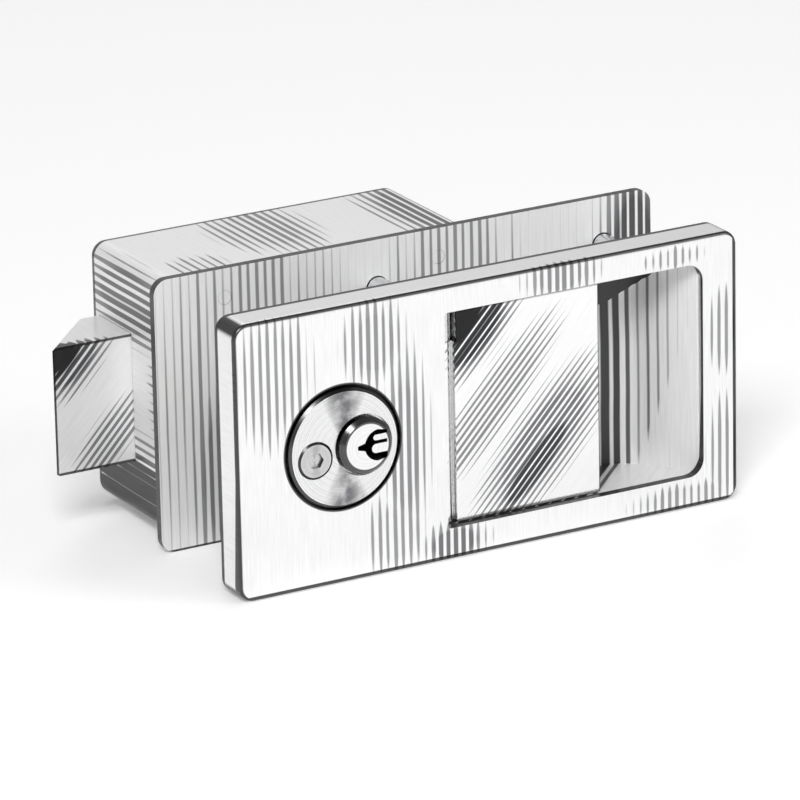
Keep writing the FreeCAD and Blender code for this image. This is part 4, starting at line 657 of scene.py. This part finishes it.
tree.links.new(path.outputs["Is Glossy Ray"], mirrored.inputs[0])
tree.links.new(path.outputs["Is Camera Ray"], seen.inputs[0])
tree.links.new(mirrored.outputs[0], seen.inputs[2])
tree.links.new(seen.outputs[0], surface.inputs["Emission Strength"])
mesh.materials.append(paper)


# Light: a pale room, darker overhead, and three soft lamps

ROOM_SLOPE = (-0.1, 0.9)    # the Z of a ray's direction between which the room darkens
ROOM_GLOW = (0.62, 0.36)

world = bpy.data.worlds.new("studio")
bpy.context.scene.world = world
world.use_nodes = True
tree = world.node_tree
tree.nodes.clear()
output = tree.nodes.new("ShaderNodeOutputWorld")
air = tree.nodes.new("ShaderNodeBackground")
where = tree.nodes.new("ShaderNodeTexCoord")
parts = tree.nodes.new("ShaderNodeSeparateXYZ")
slope = tree.nodes.new("ShaderNodeMapRange")
slope.inputs["From Min"].default_value = ROOM_SLOPE[0]
slope.inputs["From Max"].default_value = ROOM_SLOPE[1]
slope.inputs["To Min"].default_value = ROOM_GLOW[0]
slope.inputs["To Max"].default_value = ROOM_GLOW[1]
tree.links.new(where.outputs["Generated"], parts.inputs[0])
tree.links.new(parts.outputs["Z"], slope.inputs["Value"])
tree.links.new(slope.outputs[0], air.inputs["Strength"])
tree.links.new(air.outputs[0], output.inputs["Surface"])


def lamp(name, place, aim, wide, high, power):
    light = bpy.data.lights.new(name, "AREA")
    light.shape = "RECTANGLE"
    light.size = wide
    light.size_y = high
    light.energy = power
    made = bpy.data.objects.new(name, light)
    made.location = place
    made.rotation_euler = (Vector(aim) - Vector(place)).to_track_quat("-Z", "Y").to_euler()
    bpy.context.scene.collection.objects.link(made)


lamp("key", (-0.6, -0.8, 0.95), (0.0, 0.02, 0.0), 0.4, 0.4, 10.0)
lamp("fill", (0.8, -0.8, 0.7), (0.0, 0.02, 0.0), 0.6, 0.6, 4.0)
lamp("back", (0.2, 0.7, 0.9), (0.0, 0.04, 0.0), 0.6, 0.4, 2.0)


# Camera, from the photograph's own perspective

AZIMUTH = math.radians(-28.89)
ELEVATION = math.radians(19.05)
ROLL = math.radians(-1.216)
DISTANCE = 1.5
FOCAL_PIXELS = 6793.9
PHOTO_PIXELS = 800.0
SHIFT_RIGHT = 0.01606
SHIFT_UP = -0.000889
SENSOR = 36.0
FARTHEST_SEEN = 10.0

back = Vector((math.sin(AZIMUTH) * math.cos(ELEVATION), -math.cos(AZIMUTH) * math.cos(ELEVATION),
               math.sin(ELEVATION)))
level = Vector((0.0, 0.0, 1.0)).cross(back).normalized()
upward = back.cross(level)
right = level * math.cos(ROLL) + upward * math.sin(ROLL)
up = upward * math.cos(ROLL) - level * math.sin(ROLL)
lens = bpy.data.cameras.new("camera")
lens.sensor_width = SENSOR
lens.lens = FOCAL_PIXELS / PHOTO_PIXELS * SENSOR
lens.clip_end = FARTHEST_SEEN
camera = bpy.data.objects.new("camera", lens)
turn = Matrix((right, up, back)).transposed().to_4x4()
stand = back * DISTANCE - right * SHIFT_RIGHT - up * SHIFT_UP
camera.matrix_world = Matrix.Translation(stand) @ turn
bpy.context.scene.collection.objects.link(camera)
bpy.context.scene.camera = camera
bpy.context.scene.view_settings.view_transform = "Standard"
